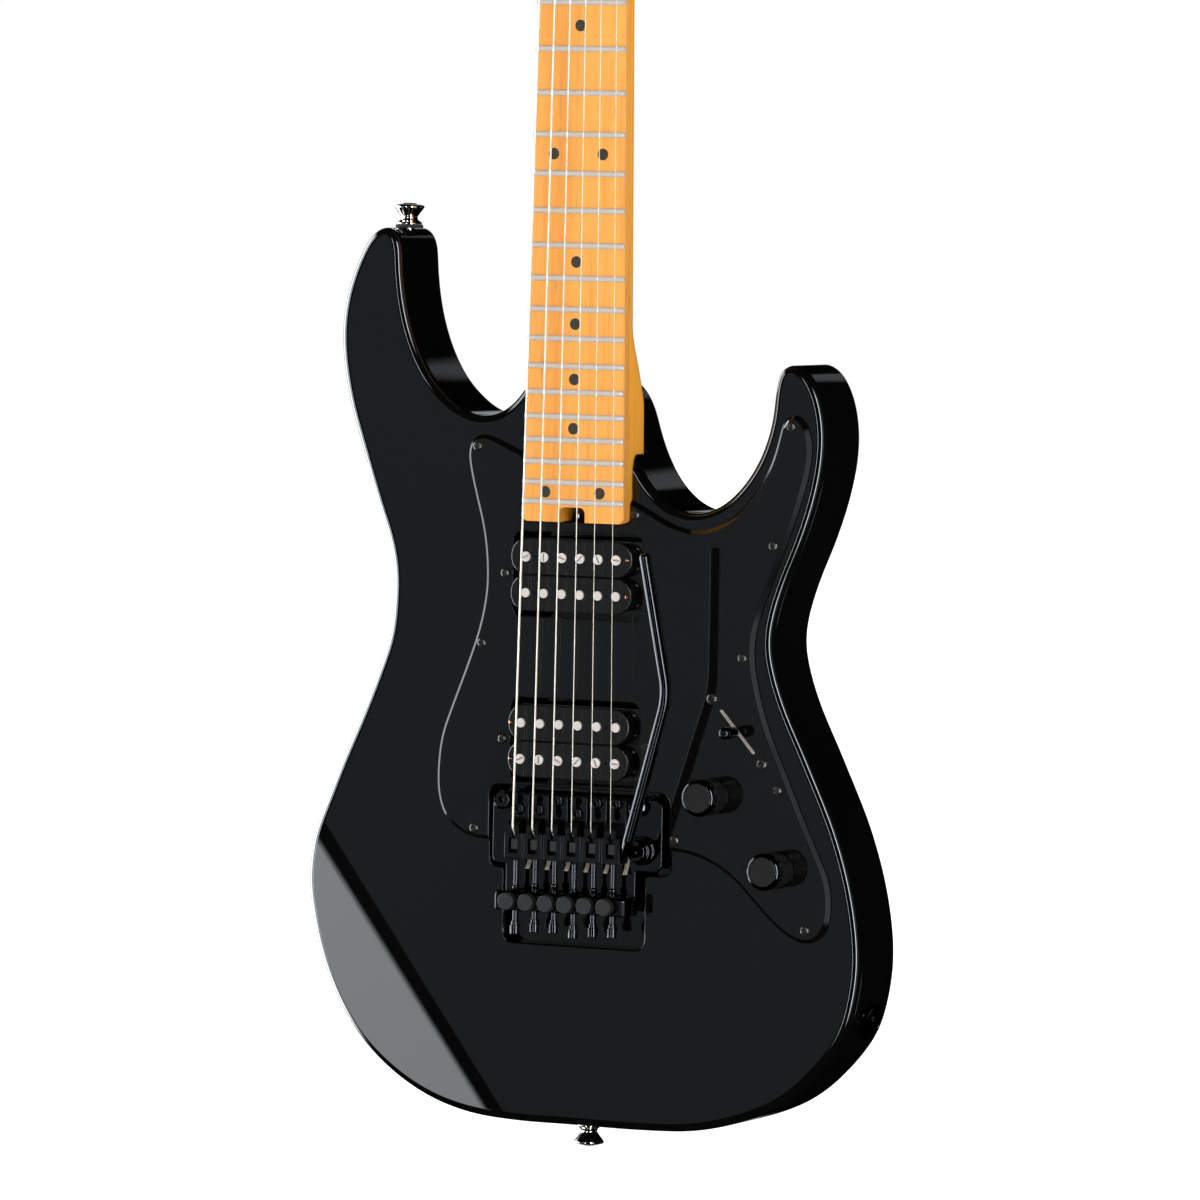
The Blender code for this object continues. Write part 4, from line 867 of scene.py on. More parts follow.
# %% Shape the board
def board_shape():
    rings = []
    stations = [(BOARD_END, 2.4), (BOARD_END + 0.7, 0.95), (BOARD_END + 2.4, 0.0)]
    stations += [(fret_z(n / 2), 0.0) for n in range(2 * FRETS - 1, 0, -1)] + [(NUT_Z, 0.0)]
    for z, tuck in stations:
        half = board_half(z) - tuck
        ring = [Vector((half, BOARD_BOTTOM, z)), Vector((-half, BOARD_BOTTOM, z)),
                Vector((-half, board_y(half) + 0.5, z))]
        for k in range(25):
            x = (half - 0.45) * (k / 12 - 1)
            ring.append(Vector((x, board_y(x), z)))
        ring.append(Vector((half, board_y(half) + 0.5, z)))
        rings.append(ring)
    return loft(rings)


board = make_piece("board", board_shape(), BOARD_MAPLE, "instrument", "fretboard",
                   cuts=[slab(round_corners(wrench_notch, 3), BOARD_TOP - 2, BOARD_BOTTOM + 1)])
print("the board has", len(board.data.polygons), "faces")

# %% [markdown]
# ## Frets and dots
# A fret is a T-shaped wire pressed into a slot: only its crown shows, a low half-round bead
# that follows the board's curve and is filed to a slant at both ends. The 24 crowns come from
# one loop.

# %% Press in the frets
def fret_shape(z):
    half, rings = board_half(z), []
    for share in [-1.0, -0.985] + [k / 8 - 1 for k in range(1, 16)] + [0.985, 1.0]:
        x = half * share
        low = abs(share) > 0.99
        wide, tall = (1.3, 0.35) if low else (1.42, 1.15)
        ring = [Vector((x, board_y(x) + 0.25, z - wide)), Vector((x, board_y(x) + 0.25, z + wide))]
        for k in range(11):
            a = math.pi * k / 10
            ring.append(Vector((x, board_y(x) + 0.02 - tall * math.sin(a) ** 0.8,
                                z + wide * math.cos(a))))
        rings.append(ring)
    return loft(rings)


make_piece("frets", joined(*[fret_shape(fret_z(n)) for n in range(1, FRETS + 1)]), FRET_WIRE,
           "instrument", angle=60)
DOT_R, SIDE_DOT_R = 2.9, 1.1
dots = []
for number in (3, 5, 7, 9, 12, 15, 17, 19, 21, 24):
    z = (fret_z(number) + fret_z(number - 1)) / 2
    spots = {12: (-13.5, 13.5), 24: (-15, 15)}.get(number, (0.0,))
    for x in spots:
        outward = (x / BOARD_RADIUS, -1, 0)
        dots.append(lathe([(DOT_R, -0.5), (DOT_R, 0.02), (DOT_R * 0.9, 0.05)],
                          facing((x, board_y(x), z), outward)))
    for k in range(2 if number in (12, 24) else 1):
        at = (-board_half(z), BOARD_TOP + 2.6, z + (4.5 * k - 2.2 if number in (12, 24) else 0))
        dots.append(lathe([(SIDE_DOT_R, 0.5), (SIDE_DOT_R, -0.04)], facing(at, (1, 0, 0)), 16))
make_piece("dots", joined(*dots), INLAY, "instrument")
truss_nut = lathe([(1.6, -8), (3.9, -8), (3.9, 1.2), (3.3, 2.0), (2.2, 2.0), (2.2, -4), (1.6, -4)],
                  facing((0, NECK_TOP + 2.2, BOARD_END + 2.5), (0, -0.25, -1)), 36, closed=True,
                  shape=lambda a, r, h: 1 + (0.05 * math.cos(9 * a) if r > 3 else 0))
make_piece("truss_nut", truss_nut, BLACK_CHROME, "instrument")
print("24 frets and", len(dots), "dots")

# %% [markdown]
# ## Strings
# Each string climbs out of its saddle's clamp, bends over the saddle and runs to the nut, over
# it, down to its post and twice round it.

# %% Draw the strings
POST_R, WRAP_TOP, WRAP_STEPS = 2.5, 4.9, 16


def string_path(index):
    radius = STRING_RADII[index]
    low_x, high_x = string_x(index, BRIDGE_SPREAD), string_x(index, NUT_SPREAD)
    under, over = STRING_Y_BRIDGE - radius, STRING_Y_NUT - radius
    climb = ((6.5, 152.2), (4.6, 154.4), (2.6, 156.6), (1.2, 158.2), (0.35, 159.5))
    path = [Vector((low_x, under + depth, z)) for depth, z in climb]
    low, high = Vector((low_x, under, 161.0)), Vector((high_x, over, NUT_Z))
    shares = [k / 90 for k in range(7)] + [k / 30 for k in range(3, 31)]
    path += [low.lerp(high, share) for share in shares]
    path += [Vector((high_x, over, NUT_Z + 8)), Vector((high_x, over, NUT_Z + 15.5))]
    post, reach = post_at(index), POST_R + radius
    for k in range(2 * WRAP_STEPS + 2):
        a = -2 * math.pi * k / WRAP_STEPS
        height = WRAP_TOP - k * radius * 2.1 / WRAP_STEPS
        around = Vector((reach * math.cos(a), reach * math.sin(a), height))
        path.append(head_frame @ (post + around))
    return path


for index, radius in enumerate(STRING_RADII):
    name = f"string_{index + 1}"
    string = make_piece(name + "_wire", tube(string_path(index), radius, 12), STRING_STEEL,
                        "instrument", name, angle=70)
    string.modifiers.clear()
    string.parent = None
    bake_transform(string)
print("six strings")

# %% [markdown]
# ## Screws
# The guitar has about eighty screws, with three kinds of drive. A head is a turned profile
# whose last rings are not circles: their radius follows a hexagon, a cross or a slot as the
# angle goes round. So the recess is part of one clean mesh, and a finished screw can be copied
# as often as needed.

# %% Drives and heads
def hexagon(size):
    return lambda a: size / math.cos(a % (math.pi / 3) - math.pi / 6)


def arms(long, wide, count=4):
    """A cross with four arms, or a slot with two."""
    part = 2 * math.pi / count

    def radius(a):
        lean = (a + part / 2) % part - part / 2
        return min(long / max(math.cos(lean), 0.05), wide / max(abs(math.sin(lean)), 1e-4))
    return radius


def screw(at, direction, profile, drive, deep, roll=0.0, sides=64):
    turn = [2 * math.pi * k / sides for k in range(sides)]
    rings = [[Vector((r * math.cos(a), r * math.sin(a), h)) for a in turn] for r, h in profile]
    top = profile[-1][1]
    for share, h in ((1.0, top), (0.97, top - 0.1), (0.85, top - deep)):
        rings.append([Vector((drive(a) * share * math.cos(a), drive(a) * share * math.sin(a), h))
                      for a in turn])
    bm = loft(rings)
    bm.transform(facing(at, direction, roll))
    return bm


OUT = (0, -1, 0)
GUARD_SCREWS = ((-56.9, 347.8), (-52.6, 250.1), (-55.2, 157.5), (115.4, 362.7), (107.1, 304.1),
                (91.5, 248.6), (112, 184.7), (128.2, 117), (56.3, 157.2), (31.4, 316.7))
small_head = [(1.2, -6), (1.2, -0.2), (2.5, 0.02), (2.45, 0.3), (2.1, 0.75), (1.7, 0.95)]
first = make_piece("guard_screw_1", screw((0, 0, 0), OUT, small_head, arms(1.25, 0.36), 0.8),
                   SCREW_GREY, "instrument", angle=40)
for number, (x, z) in enumerate(GUARD_SCREWS):
    roll = Matrix.Rotation(math.radians(37 * number), 4, "Y")
    place = Matrix.Translation((x, GUARD_FRONT, z)) @ roll
    if number == 0:
        put(first, place)
    else:
        copy_piece(first, f"guard_screw_{number + 1}", place, "instrument")
switch_head = [(1.4, -6), (1.4, -0.2), (3.0, 0.02), (2.95, 0.4), (2.5, 0.95), (2.0, 1.2)]
for number, spot in enumerate((SWITCH_TOP, SWITCH_LOW)):
    make_piece(f"switch_screw_{number + 1}",
               screw((spot.x, GUARD_FRONT, spot.z), OUT, switch_head, arms(1.6, 0.42), 0.9, 20),
               SCREW_GREY, "instrument", angle=40)
print(len(GUARD_SCREWS), "guard screws")

# %% [markdown]
# ## Pickups
# Each pickup has two bobbins side by side: a moulded cap, the taped coil under it and a base
# plate below. One row of poles is adjustable, with slotted heads. The other is plain slugs. The
# two pickups face opposite ways, so their slotted rows are the ones farthest apart.

# %% Wind the pickups
PICKUP_FACE, PICKUP_BOTTOM = FRONT - 9.7, FRONT + 5.5
ROW = 8.95
SLUG = [(2.35, -6), (2.35, 0.3), (2.2, 0.5)]
POLE = [(1.9, -6), (1.9, 0.0), (2.5, 0.05), (2.5, 0.55), (2.42, 0.78), (2.2, 0.88)]


def make_pickup(name, middle, spread, screws_up, dot_side):
    bobbins, poles, holes, dots = [], [], [], []
    for row in (-1, 1):
        z = middle + row * ROW
        outline = rounded_box((-33.4, z - 9.0), (33.4, z + 9.0), 8.6, 10)
        steps = ((0.7, PICKUP_FACE), (0.3, PICKUP_FACE + 0.1), (0.08, PICKUP_FACE + 0.3),
                 (0.0, PICKUP_FACE + 0.7), (0.0, PICKUP_FACE + 2.0), (1.3, PICKUP_FACE + 2.1),
                 (1.3, PICKUP_BOTTOM - 3.5), (0.15, PICKUP_BOTTOM - 3.4),
                 (0.15, PICKUP_BOTTOM - 2))
        shift = 0.1 * row
        bobbins.append(loft([[Vector((p.x, y, p.y + shift)) for p in inset(outline, gap)]
                             for gap, y in steps]))
        for index in range(6):
            x = string_x(index, spread)
            holes.append(drill((x, PICKUP_FACE, z), 2.75, -2, 1.2, 32))
            if row == screws_up:
                poles.append(screw((x, PICKUP_FACE, z), OUT, POLE, arms(2.05, 0.42, 2), 1.3,
                                   (index * 67 + 25) % 180, 48))
            else:
                poles.append(lathe(SLUG, facing((x, PICKUP_FACE, z), OUT), 32))
        for x in (string_x(0.5, spread), string_x(4.5, spread)):
            holes.append(drill((x, PICKUP_FACE, z), 0.55, -2, 1.5, 12))
        dots.append(lathe([(0.85, -2), (0.85, 0.02), (0.6, 0.2), (0.2, 0.26)],
                          facing((dot_side * (spread / 2 + 5.9), PICKUP_FACE, z), OUT), 16))
    make_piece(name + "_bobbins", bobbins[0], BOBBIN, "instrument", name,
               adds=[bobbins[1]], cuts=[joined(*holes)])
    make_piece(name + "_poles", joined(*poles), POLE_NICKEL, "instrument", angle=40)
    make_piece(name + "_eyelets", joined(*dots), COPPER, "instrument")
    deck = slab(rounded_box((-33.8, middle - 17.6), (33.8, middle + 17.6), 2),
                PICKUP_BOTTOM - 1.9, PICKUP_BOTTOM)
    wings = slab(rounded_box((-44, middle - 6), (44, middle + 6), 3),
                 PICKUP_BOTTOM - 1.7, PICKUP_BOTTOM - 0.2)
    make_piece(name + "_base", deck, DULL_BLACK, "instrument", adds=[wings])
    for side in (-1, 1):
        head = [(1.3, -30.5), (1.3, -0.1), (2.5, 0.0), (2.5, 0.35), (2.1, 0.9), (1.7, 1.15)]
        make_piece(f"{name}_screw_{'left' if side < 0 else 'right'}",
                   screw((side * 40, GUARD_FRONT - 0.2, middle), OUT, head, arms(1.25, 0.36), 0.8,
                         30 * side), SCREW_GREY, "instrument", angle=40)


make_pickup("neck_pickup", NECK_PICKUP_Z, 50.0, 1, 1)
make_pickup("bridge_pickup", BRIDGE_PICKUP_Z, 52.6, -1, -1)
print("two pickups with 24 poles")

# %% [markdown]
# ## The tremolo's plate
# The plate hangs on two studs by knife edges ground into its front corners, so it can tip.
# Behind it a bar crosses over the string locks and carries the fine tuners. A saddle, its clamp
# and its lock screw repeat six times, so they are made once around x = 0 and copied.

# %% Forge the plate
BAR_LOW, BAR_HIGH, BAR_TOP = 119.0, 128.5, -38.2
BAR_MIDDLE = (BAR_LOW + BAR_HIGH) / 2
LOCK_Y = STRING_Y_BRIDGE + 4
ARM_X, ARM_Z, ARM_R = 39.8, 151.5, 2.9
STUD_X, STUD_Z = 37.5, 173.0
FOOT_SCREWS = (169, 169, 174, 168, 173.8, 174)
plate_outline = round_corners(((-43.7, 141, 4.5), (-36, 141, 0.6), (-36, 119, 0.6), (36, 119, 0.6),
                               (36, 141, 0.6), (50.4, 141, 4.5), (50.4, 176.6, 4.5),
                               (-43.7, 176.6, 4.5)), 4)
plate = slab(plate_outline, PLATE_FACE, PLATE_BACK, edge=0.5, steps=3, both=True)
slot_half, corner = 2.9, 1.2
teeth = []
for index in range(6):
    x = string_x(index, BRIDGE_SPREAD)
    left, right, roof = x - slot_half, x + slot_half, LOCK_Y - slot_half
    teeth += [(left, PLATE_FACE + 1), (left, roof + corner), (left + corner, roof),
              (right - corner, roof), (right, roof + corner), (right, PLATE_FACE + 1)]
comb = [(-36, PLATE_FACE + 1)] + teeth + [(36, PLATE_FACE + 1), (36, BAR_TOP + 1), (35, BAR_TOP),
                                          (-35, BAR_TOP), (-36, BAR_TOP + 1)]
comb_rings = []
for z, tuck in ((BAR_LOW, 0.9), (BAR_LOW + 0.3, 0.3), (BAR_LOW + 0.9, 0.0), (BAR_HIGH - 2.2, 0.0),
                (BAR_HIGH - 0.8, 0.5), (BAR_HIGH, 1.6)):
    ring = []
    for x, y in comb:
        lean = tuck if y < LOCK_Y - slot_half - 0.5 else 0
        ring.append(Vector((x * (1 - lean * 0.012), y + lean, z)))
    comb_rings.append(ring)
plate_cuts = []
for index in range(6):
    x = string_x(index, BRIDGE_SPREAD)
    plate_cuts.append(drill((x, BAR_TOP + 0.5, BAR_MIDDLE), 2.3, -3, 6.5, 24))
    plate_cuts += [drill((x, PLATE_FACE, z), 1.3, -2, 6, 20) for z in (162.5, 168, 174)]
for side in (-1, 1):
    half = 4.3
    notch = [Vector((side * STUD_X + half * math.cos(a), STUD_Z + half * math.sin(a)))
             for a in (math.pi * (1 + k / 12) for k in range(13))]
    notch += [Vector((side * STUD_X + half, 182)), Vector((side * STUD_X - half, 182))]
    plate_cuts.append(slab(notch, PLATE_FACE - 1, PLATE_BACK + 1))
plate_cuts.append(drill((ARM_X, PLATE_FACE, ARM_Z), 4.4, -2, 8, 32))
make_piece("tremolo_plate", plate, BLACK_CHROME, "tremolo", "tremolo_base",
           adds=[loft(comb_rings)], cuts=plate_cuts, angle=35)
print("the plate is cut")

# %% Saddles
SADDLE_TOP, FOOT = STRING_Y_BRIDGE + 0.25, PLATE_FACE - 0.3
CLAMP = ((-1.7, 149.2), (2.2, 154.4))


def saddle_shape():
    top = SADDLE_TOP
    block = slab(rounded_box((-5.05, 144.5), (5.05, 157.6), 0.7, 4), top, FOOT, edge=0.35)
    prongs = side_slab([(FOOT - 0.2, 156.5), (top - 0.35, 156.5), (top - 0.75, 158.4),
                        (top - 0.8, 160.0), (top - 0.5, 161.6), (top + 0.6, 163),
                        (top + 3.6, 164.4), (FOOT - 0.2, 165)], -3.2, 3.2)
    foot = slab(rounded_box((-4.7, 155), (4.7, 176.0), 0.8, 4), FOOT - 2.4, FOOT - 0.05,
                edge=0.35)
    cuts = [slab(rounded_box((-2.6, 147.2), (2.45, 154.9), 0.4, 3), top - 3, top + 7),
            slab(rounded_box((-0.95, 153), (0.95, 158.3), 0.3, 3), top - 3, top + 5.5),
            slab(rounded_box((-0.75, 156), (0.75, 167), 0.3, 3), top - 3, STRING_Y_BRIDGE + 0.04),
            slab(rounded_box((-1.7, 165.6), (1.7, 180), 1.5), FOOT - 5, FOOT + 1)]
    return block, [prongs, foot], cuts


block, adds, cuts = saddle_shape()
first_saddle = make_piece("saddle_1_steel", block, BLACK_STEEL, "tremolo",
                          "saddle_1", adds=adds, cuts=cuts, bevel=0.15)
clamp = slab(rounded_box(*CLAMP, 0.3, 3), SADDLE_TOP + 0.7, SADDLE_TOP + 6.5, edge=0.3)
first_clamp = make_piece("clamp_1", clamp, DULL_BLACK, "tremolo")
hex_head = [(1.2, -4), (1.2, 0), (2.6, 0.02), (2.65, 0.3), (2.65, 1.9), (2.5, 2.2), (2.2, 2.3),
            (1.75, 2.3)]
first_foot_screw = make_piece("foot_screw_1", screw((0, 0, 0), OUT, hex_head, hexagon(1.25), 1.6),
                              BLACK_CHROME, "tremolo", angle=40)
lock = [(1.3, 1.5), (1.3, 13.8), (1.9, 14.4), (1.9, 16.4), (1.5, 17.0), (1.5, 31.6), (2.15, 31.8),
        (2.15, 33.6), (2.75, 33.8), (2.8, 34.1), (2.8, 37.8), (2.6, 38.1), (2.0, 38.1)]
lock_screw = screw((0, LOCK_Y, 146), (0, 0, -1), lock, hexagon(1.35), 1.8)
first_lock = make_piece("lock_screw_1", lock_screw, BLACK_CHROME, "tremolo",
                        angle=40)
leaf = [(FOOT - 0.1, 147.5), (FOOT - 0.3, 145), (FOOT - 1.2, 142.4), (FOOT - 3.0, 139.8),
        (FOOT - 3.3, 139.4)]
leaf_outline = leaf + [(y + 0.55, z - 0.15) for y, z in reversed(leaf)]
first_leaf = make_piece("leaf_spring_1", side_slab(leaf_outline, 3.7, 5.9), SPRING_STEEL,
                        "tremolo", bevel=0.12)
LOCK_SHIFT = (-1.0, 0.4, 0.7, -1.2, 0.0, 0.3)
for index in range(6):
    x = string_x(index, BRIDGE_SPREAD)
    step = Matrix.Translation((x, 0, 0))
    sink = Matrix.Translation((x, 0, LOCK_SHIFT[index]))
    seat = Matrix.Translation((x, FOOT - 2.4, FOOT_SCREWS[index]))
    for source, name, place in ((first_saddle, "saddle_{}_steel", step),
                                (first_clamp, "clamp_{}", step),
                                (first_foot_screw, "foot_screw_{}", seat),
                                (first_lock, "lock_screw_{}", sink),
                                (first_leaf, "leaf_spring_{}", step)):
        if index:
            twin = copy_piece(source, name.format(index + 1), place, "tremolo")
            if "saddle" in name:
                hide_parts(f"saddle_{index + 1}")
        else:
            put(source, place)
print("six saddles with their locks")

# %% Fine tuners, studs and block
TUNER_R = 4.3


def knurled(a, r, h):
    return 1 + (0.022 * math.cos(36 * a) if r > TUNER_R - 0.05 else 0)


tuner_profile = [(2.0, -4.6), (2.0, 0.6), (3.6, 0.6), (TUNER_R - 0.2, 0.75), (TUNER_R, 1.0),
                 (TUNER_R, 4.6), (TUNER_R - 0.15, 5.0), (TUNER_R - 0.5, 5.3)]
for index in range(6):
    at = (string_x(index, BRIDGE_SPREAD), BAR_TOP, BAR_MIDDLE)
    disc = lathe(tuner_profile, facing(at, OUT), 144, shape=knurled)
    make_piece(f"fine_tuner_{index + 1}_disc", disc, DULL_BLACK, f"fine_tuner_screw_{index + 1}",
               f"fine_tuner_{index + 1}", angle=40)
stud = [(5, -20.5), (5, -7), (3.5, -7), (3.5, 5.8), (4.7, 5.8), (4.9, 6.0), (4.9, 7.3),
        (4.6, 7.7), (3.9, 7.85), (3.7, 7.7), (2.1, 7.7)]
for side, name in ((-1, "pivot_stud_bass"), (1, "pivot_stud_treble")):
    pivot = screw((side * STUD_X, FRONT, STUD_Z), OUT, stud, hexagon(1.5), 2.5)
    make_piece(name + "_screw", pivot, BLACK_CHROME, "instrument", name,
               angle=40)
block = slab(rounded_box((-28, 150.5), (28, 167.5), 1), PLATE_BACK + 0.3, PLATE_BACK + 37,
             edge=0.8, both=True)
make_piece("tremolo_block_steel", block, PLATED_STEEL, "tremolo",
           "tremolo_block", angle=35)
print("fine tuners, studs and block")

# %% [markdown]
# ## The tremolo arm
# The arm is one bent rod. It leaves its collar straight up, turns at a tight elbow, runs along
# the strings and bends once more to bring its tip under the hand.

# %% Bend the arm
def bent_path(points, radii, steps=14):
    """Straight runs joined by arcs of Bezier curves."""
    path = [points[0]]
    for before, corner, after, reach in zip(points, points[1:], points[2:], radii):
        start = corner + (before - corner).normalized() * reach
        end = corner + (after - corner).normalized() * reach
        for k in range(steps + 1):
            t = k / steps
            path.append(start.lerp(corner, t).lerp(corner.lerp(end, t), t))
    return path + [points[-1]]


arm_corners = [Vector((ARM_X, PLATE_FACE - 0.5, ARM_Z)), Vector((ARM_X, FRONT - 23.5, ARM_Z)),
               Vector((63.4, FRONT - 28.0, 230.5)), Vector((56.5, FRONT - 42.0, 300.0))]
arm_line = bent_path(arm_corners, (7, 9))
on = (arm_line[-1] - arm_line[-2]).normalized()
arm_line = arm_line[:-1] + [arm_line[-1] - on * d for d in (2.2, 1.2, 0.5, 0.12, 0)]
arm_radii = [ARM_R] * (len(arm_line) - 4) + [ARM_R * s for s in (0.95, 0.78, 0.55, 0.3)]
make_piece("arm_rod", tube(arm_line, ARM_R, 32, arm_radii), BLACK_CHROME, "arm",
           "tremolo_arm", angle=60)
collar = [(3.1, 0.4), (7.0, 0.4), (7.2, 0.6), (7.2, 1.7), (7.0, 1.9), (6.4, 2.0), (6.3, 2.3),
          (6.3, 4.9), (6.1, 5.2), (5.5, 5.3), (5.2, 5.6), (5.2, 8.2), (5.0, 8.5), (4.6, 8.6),
          (3.1, 8.6)]
make_piece("arm_collar", lathe(collar, facing((ARM_X, PLATE_FACE, ARM_Z), OUT), 64, closed=True),
           BLACK_CHROME, "arm", angle=40)
print("the arm reaches", round(arm_line[-1].z), "mm")

# %% [markdown]
# ## Controls
# Each knob is a hollow shell pushed over its pot's shaft: a bright rim round a satin top, a
# groove, and glossy sides. The selector's lever stands in a slot that is lined with a thin
# bright loop.

# %% Turn the knobs
def make_satin(name, level):
    paint = Paint(name, Metallic=0.2, IOR=1.45)
    rings = paint.noise(2200.0, 2.0, paint.place((1, 0.1, 1)))
    cloud = paint.noise(300.0, 3.0)
    return paint.feed(Base_Color=paint.mix(cloud, grey(level), grey(level * 1.5)),
                      Roughness=0.30 + rings * 0.10, Normal=paint.bump(rings, 0.06, 0.00004))


SATIN = make_satin("satin_black", 0.008)
KNOB_LOW, KNOB_HIGH, BUSH_HIGH = -GUARD_FRONT + 0.5, -GUARD_FRONT + 17.7, -GUARD_FRONT + 3.4
knob_shell = [(2.9, -FRONT - 7.6), (2.9, BUSH_HIGH + 2), (6, BUSH_HIGH + 2), (6, KNOB_LOW),
              (8.9, KNOB_LOW), (9.15, KNOB_LOW + 0.25), (9.15, KNOB_LOW + 1.3),
              (8.95, KNOB_LOW + 1.6), (8.9, KNOB_LOW + 2.0), (8.95, KNOB_HIGH - 4.6),
              (8.6, KNOB_HIGH - 4.3), (8.55, KNOB_HIGH - 3.6), (8.95, KNOB_HIGH - 3.2),
              (9.15, KNOB_HIGH - 2.9), (9.15, KNOB_HIGH - 1.9), (8.9, KNOB_HIGH - 1.1),
              (8.3, KNOB_HIGH - 0.4), (7.5, KNOB_HIGH), (7.1, KNOB_HIGH), (7.0, KNOB_HIGH - 0.25),
              (3, KNOB_HIGH - 0.25)]
knob_top = [(6.9, KNOB_HIGH - 0.3), (6.9, KNOB_HIGH - 0.12)]
sleeve = [(8.7, KNOB_LOW + 2.2), (8.98, KNOB_LOW + 2.2), (9.03, KNOB_HIGH - 4.8),
          (8.7, KNOB_HIGH - 4.8)]
pot = [(3.2, -FRONT - 8), (3.2, BUSH_HIGH), (3.7, BUSH_HIGH), (3.9, BUSH_HIGH - 0.3),
       (3.9, -FRONT), (8.2, -FRONT), (8.2, -FRONT - 9.6), (7.8, -FRONT - 10)]
for name, x, z in KNOBS:
    axis, control = facing((x, 0, z), OUT), name + "_control"
    make_piece(name + "_knob_shell", lathe(knob_shell, axis, 96), BLACK_CHROME, control,
               name + "_knob", angle=50)
    make_piece(name + "_knob_top", lathe(knob_top, axis, 64), SATIN, control)
    make_piece(name + "_knob_sleeve", lathe(sleeve, axis, 96, closed=True), SATIN, control,
               angle=50)
    make_piece(name + "_pot_can", lathe(pot, axis, 64), PLATED_STEEL, "instrument",
               name + "_pot", angle=40)
print("knobs and pots")

# %% Fit the selector
rail = slab(rounded_box((-13.7, -0.6), (13.7, 0.6), 0.55, 6), GUARD_FRONT + 0.1, GUARD_FRONT + 1.2)
rail_gap = slab(rounded_box((-13.3, -0.31), (13.3, 0.31), 0.28, 6), GUARD_FRONT - 2,
                GUARD_FRONT + 4)
for bm in (rail, rail_gap):
    bm.transform(switch_frame)
make_piece("switch_rail", rail, POLE_NICKEL, "instrument", cuts=[rail_gap])
lever_low = FRONT + 23.2
stem = loft([[Vector((s, y, t)) for s, y in ((-1.4, lever_low), (1.4, lever_low),
                                             (1.4, GUARD_FRONT - 5), (-1.4, GUARD_FRONT - 5))]
             for t in (-0.25, 0.25)])
tip = [(0.9, 2.6), (2.1, 2.9), (2.6, 3.8), (2.75, 5.2), (2.9, 9), (3.0, 12.0), (3.0, 13.8),
       (2.8, 14.9), (2.3, 15.6), (1.9, 15.75), (1.7, 15.6), (1.0, 15.6), (0.6, 15.75)]
barrel = lathe(tip, facing((0, GUARD_FRONT, 0), OUT), 48)
for bm in (stem, barrel):
    bm.transform(switch_frame)
make_piece("switch_stem", stem, PLATED_STEEL, "selector")
make_piece("switch_tip", barrel, BLACK_CHROME, "selector", "switch_lever",
           angle=50)
print("the selector is in")

# %% [markdown]
# ## Jack and strap buttons
# The jack's sleeve comes out through a washer and a hexagonal nut. A strap button is a turned
# flange, a waist and a cone, held by a screw through its middle, on a ring of black felt.

# %% Fit jack and buttons
sleeve = [(3.5, -28), (3.5, 3.7), (3.7, 4.0), (4.3, 4.0), (4.5, 3.8), (4.5, 0.5), (7, 0.5),
          (7, -30)]
make_piece("jack_sleeve", lathe(sleeve, jack_frame, 48, closed=True), BLACK_CHROME, "instrument",
           "jack", angle=40)
washer = [(4.6, 0.5), (8.6, 0.5), (9.0, 0.8), (8.9, 1.2), (8.2, 1.5), (4.6, 1.5)]
make_piece("jack_washer", lathe(washer, jack_frame, 64, closed=True), BLACK_CHROME, "instrument",
           angle=40)
NUT_R = 6.3
nut_edge = hexagon(NUT_R)
nut = [(4.6, 1.6), (6.1, 1.6), (NUT_R, 1.8), (NUT_R, 3.1), (5.9, 3.4), (4.6, 3.4)]
nut_mesh = lathe(nut, jack_frame, 72, closed=True,
                 shape=lambda a, r, h: nut_edge(a) / NUT_R if r == NUT_R else 1)
make_piece("jack_nut", nut_mesh, BLACK_CHROME, "instrument", angle=25)
button = [(2.2, -18), (2.2, 1.35), (6.1, 1.35), (6.3, 1.6), (6.25, 2.2), (5.6, 2.7), (4.6, 3.3),
          (4.1, 4.2), (4.05, 5.0), (4.4, 5.7), (5.4, 7.0), (6.5, 8.5), (7.2, 9.5), (7.45, 10.0),
          (7.4, 10.5), (7.0, 10.8), (6.4, 11.0), (5.0, 11.4), (4.4, 11.4), (4.2, 11.1), (4.0, 11.1),
          (3.8, 11.5), (3.0, 11.9), (2.4, 12.0)]
for at, direction, name in (((0, 0, 12), (0, 0, -1), "strap_button_lower"),
                            ((-110.6, 0, 455.6), (0, 0, 1), "strap_button_upper")):
    make_piece(name + "_turned", screw(at, direction, button, arms(2.0, 0.5), 1.6, 15), NICKEL,
               "instrument", name, angle=50)
    ring = [(2.6, -0.6), (6.7, -0.6), (7.0, 0.1), (6.9, 0.9), (6.5, 1.25), (2.6, 1.25)]
    make_piece(name + "_felt", lathe(ring, facing(at, direction), 48, closed=True), FELT,
               "instrument")
print("jack and strap buttons")

# %% [markdown]
# ## The headstock's hardware
# The strings are clamped in pairs at the nut, so tuning is done at the bridge once they are
# locked. Behind the nut a bar presses the strings down on their way to six posts in one row.
# Each key drives its post through a worm in a cast housing.

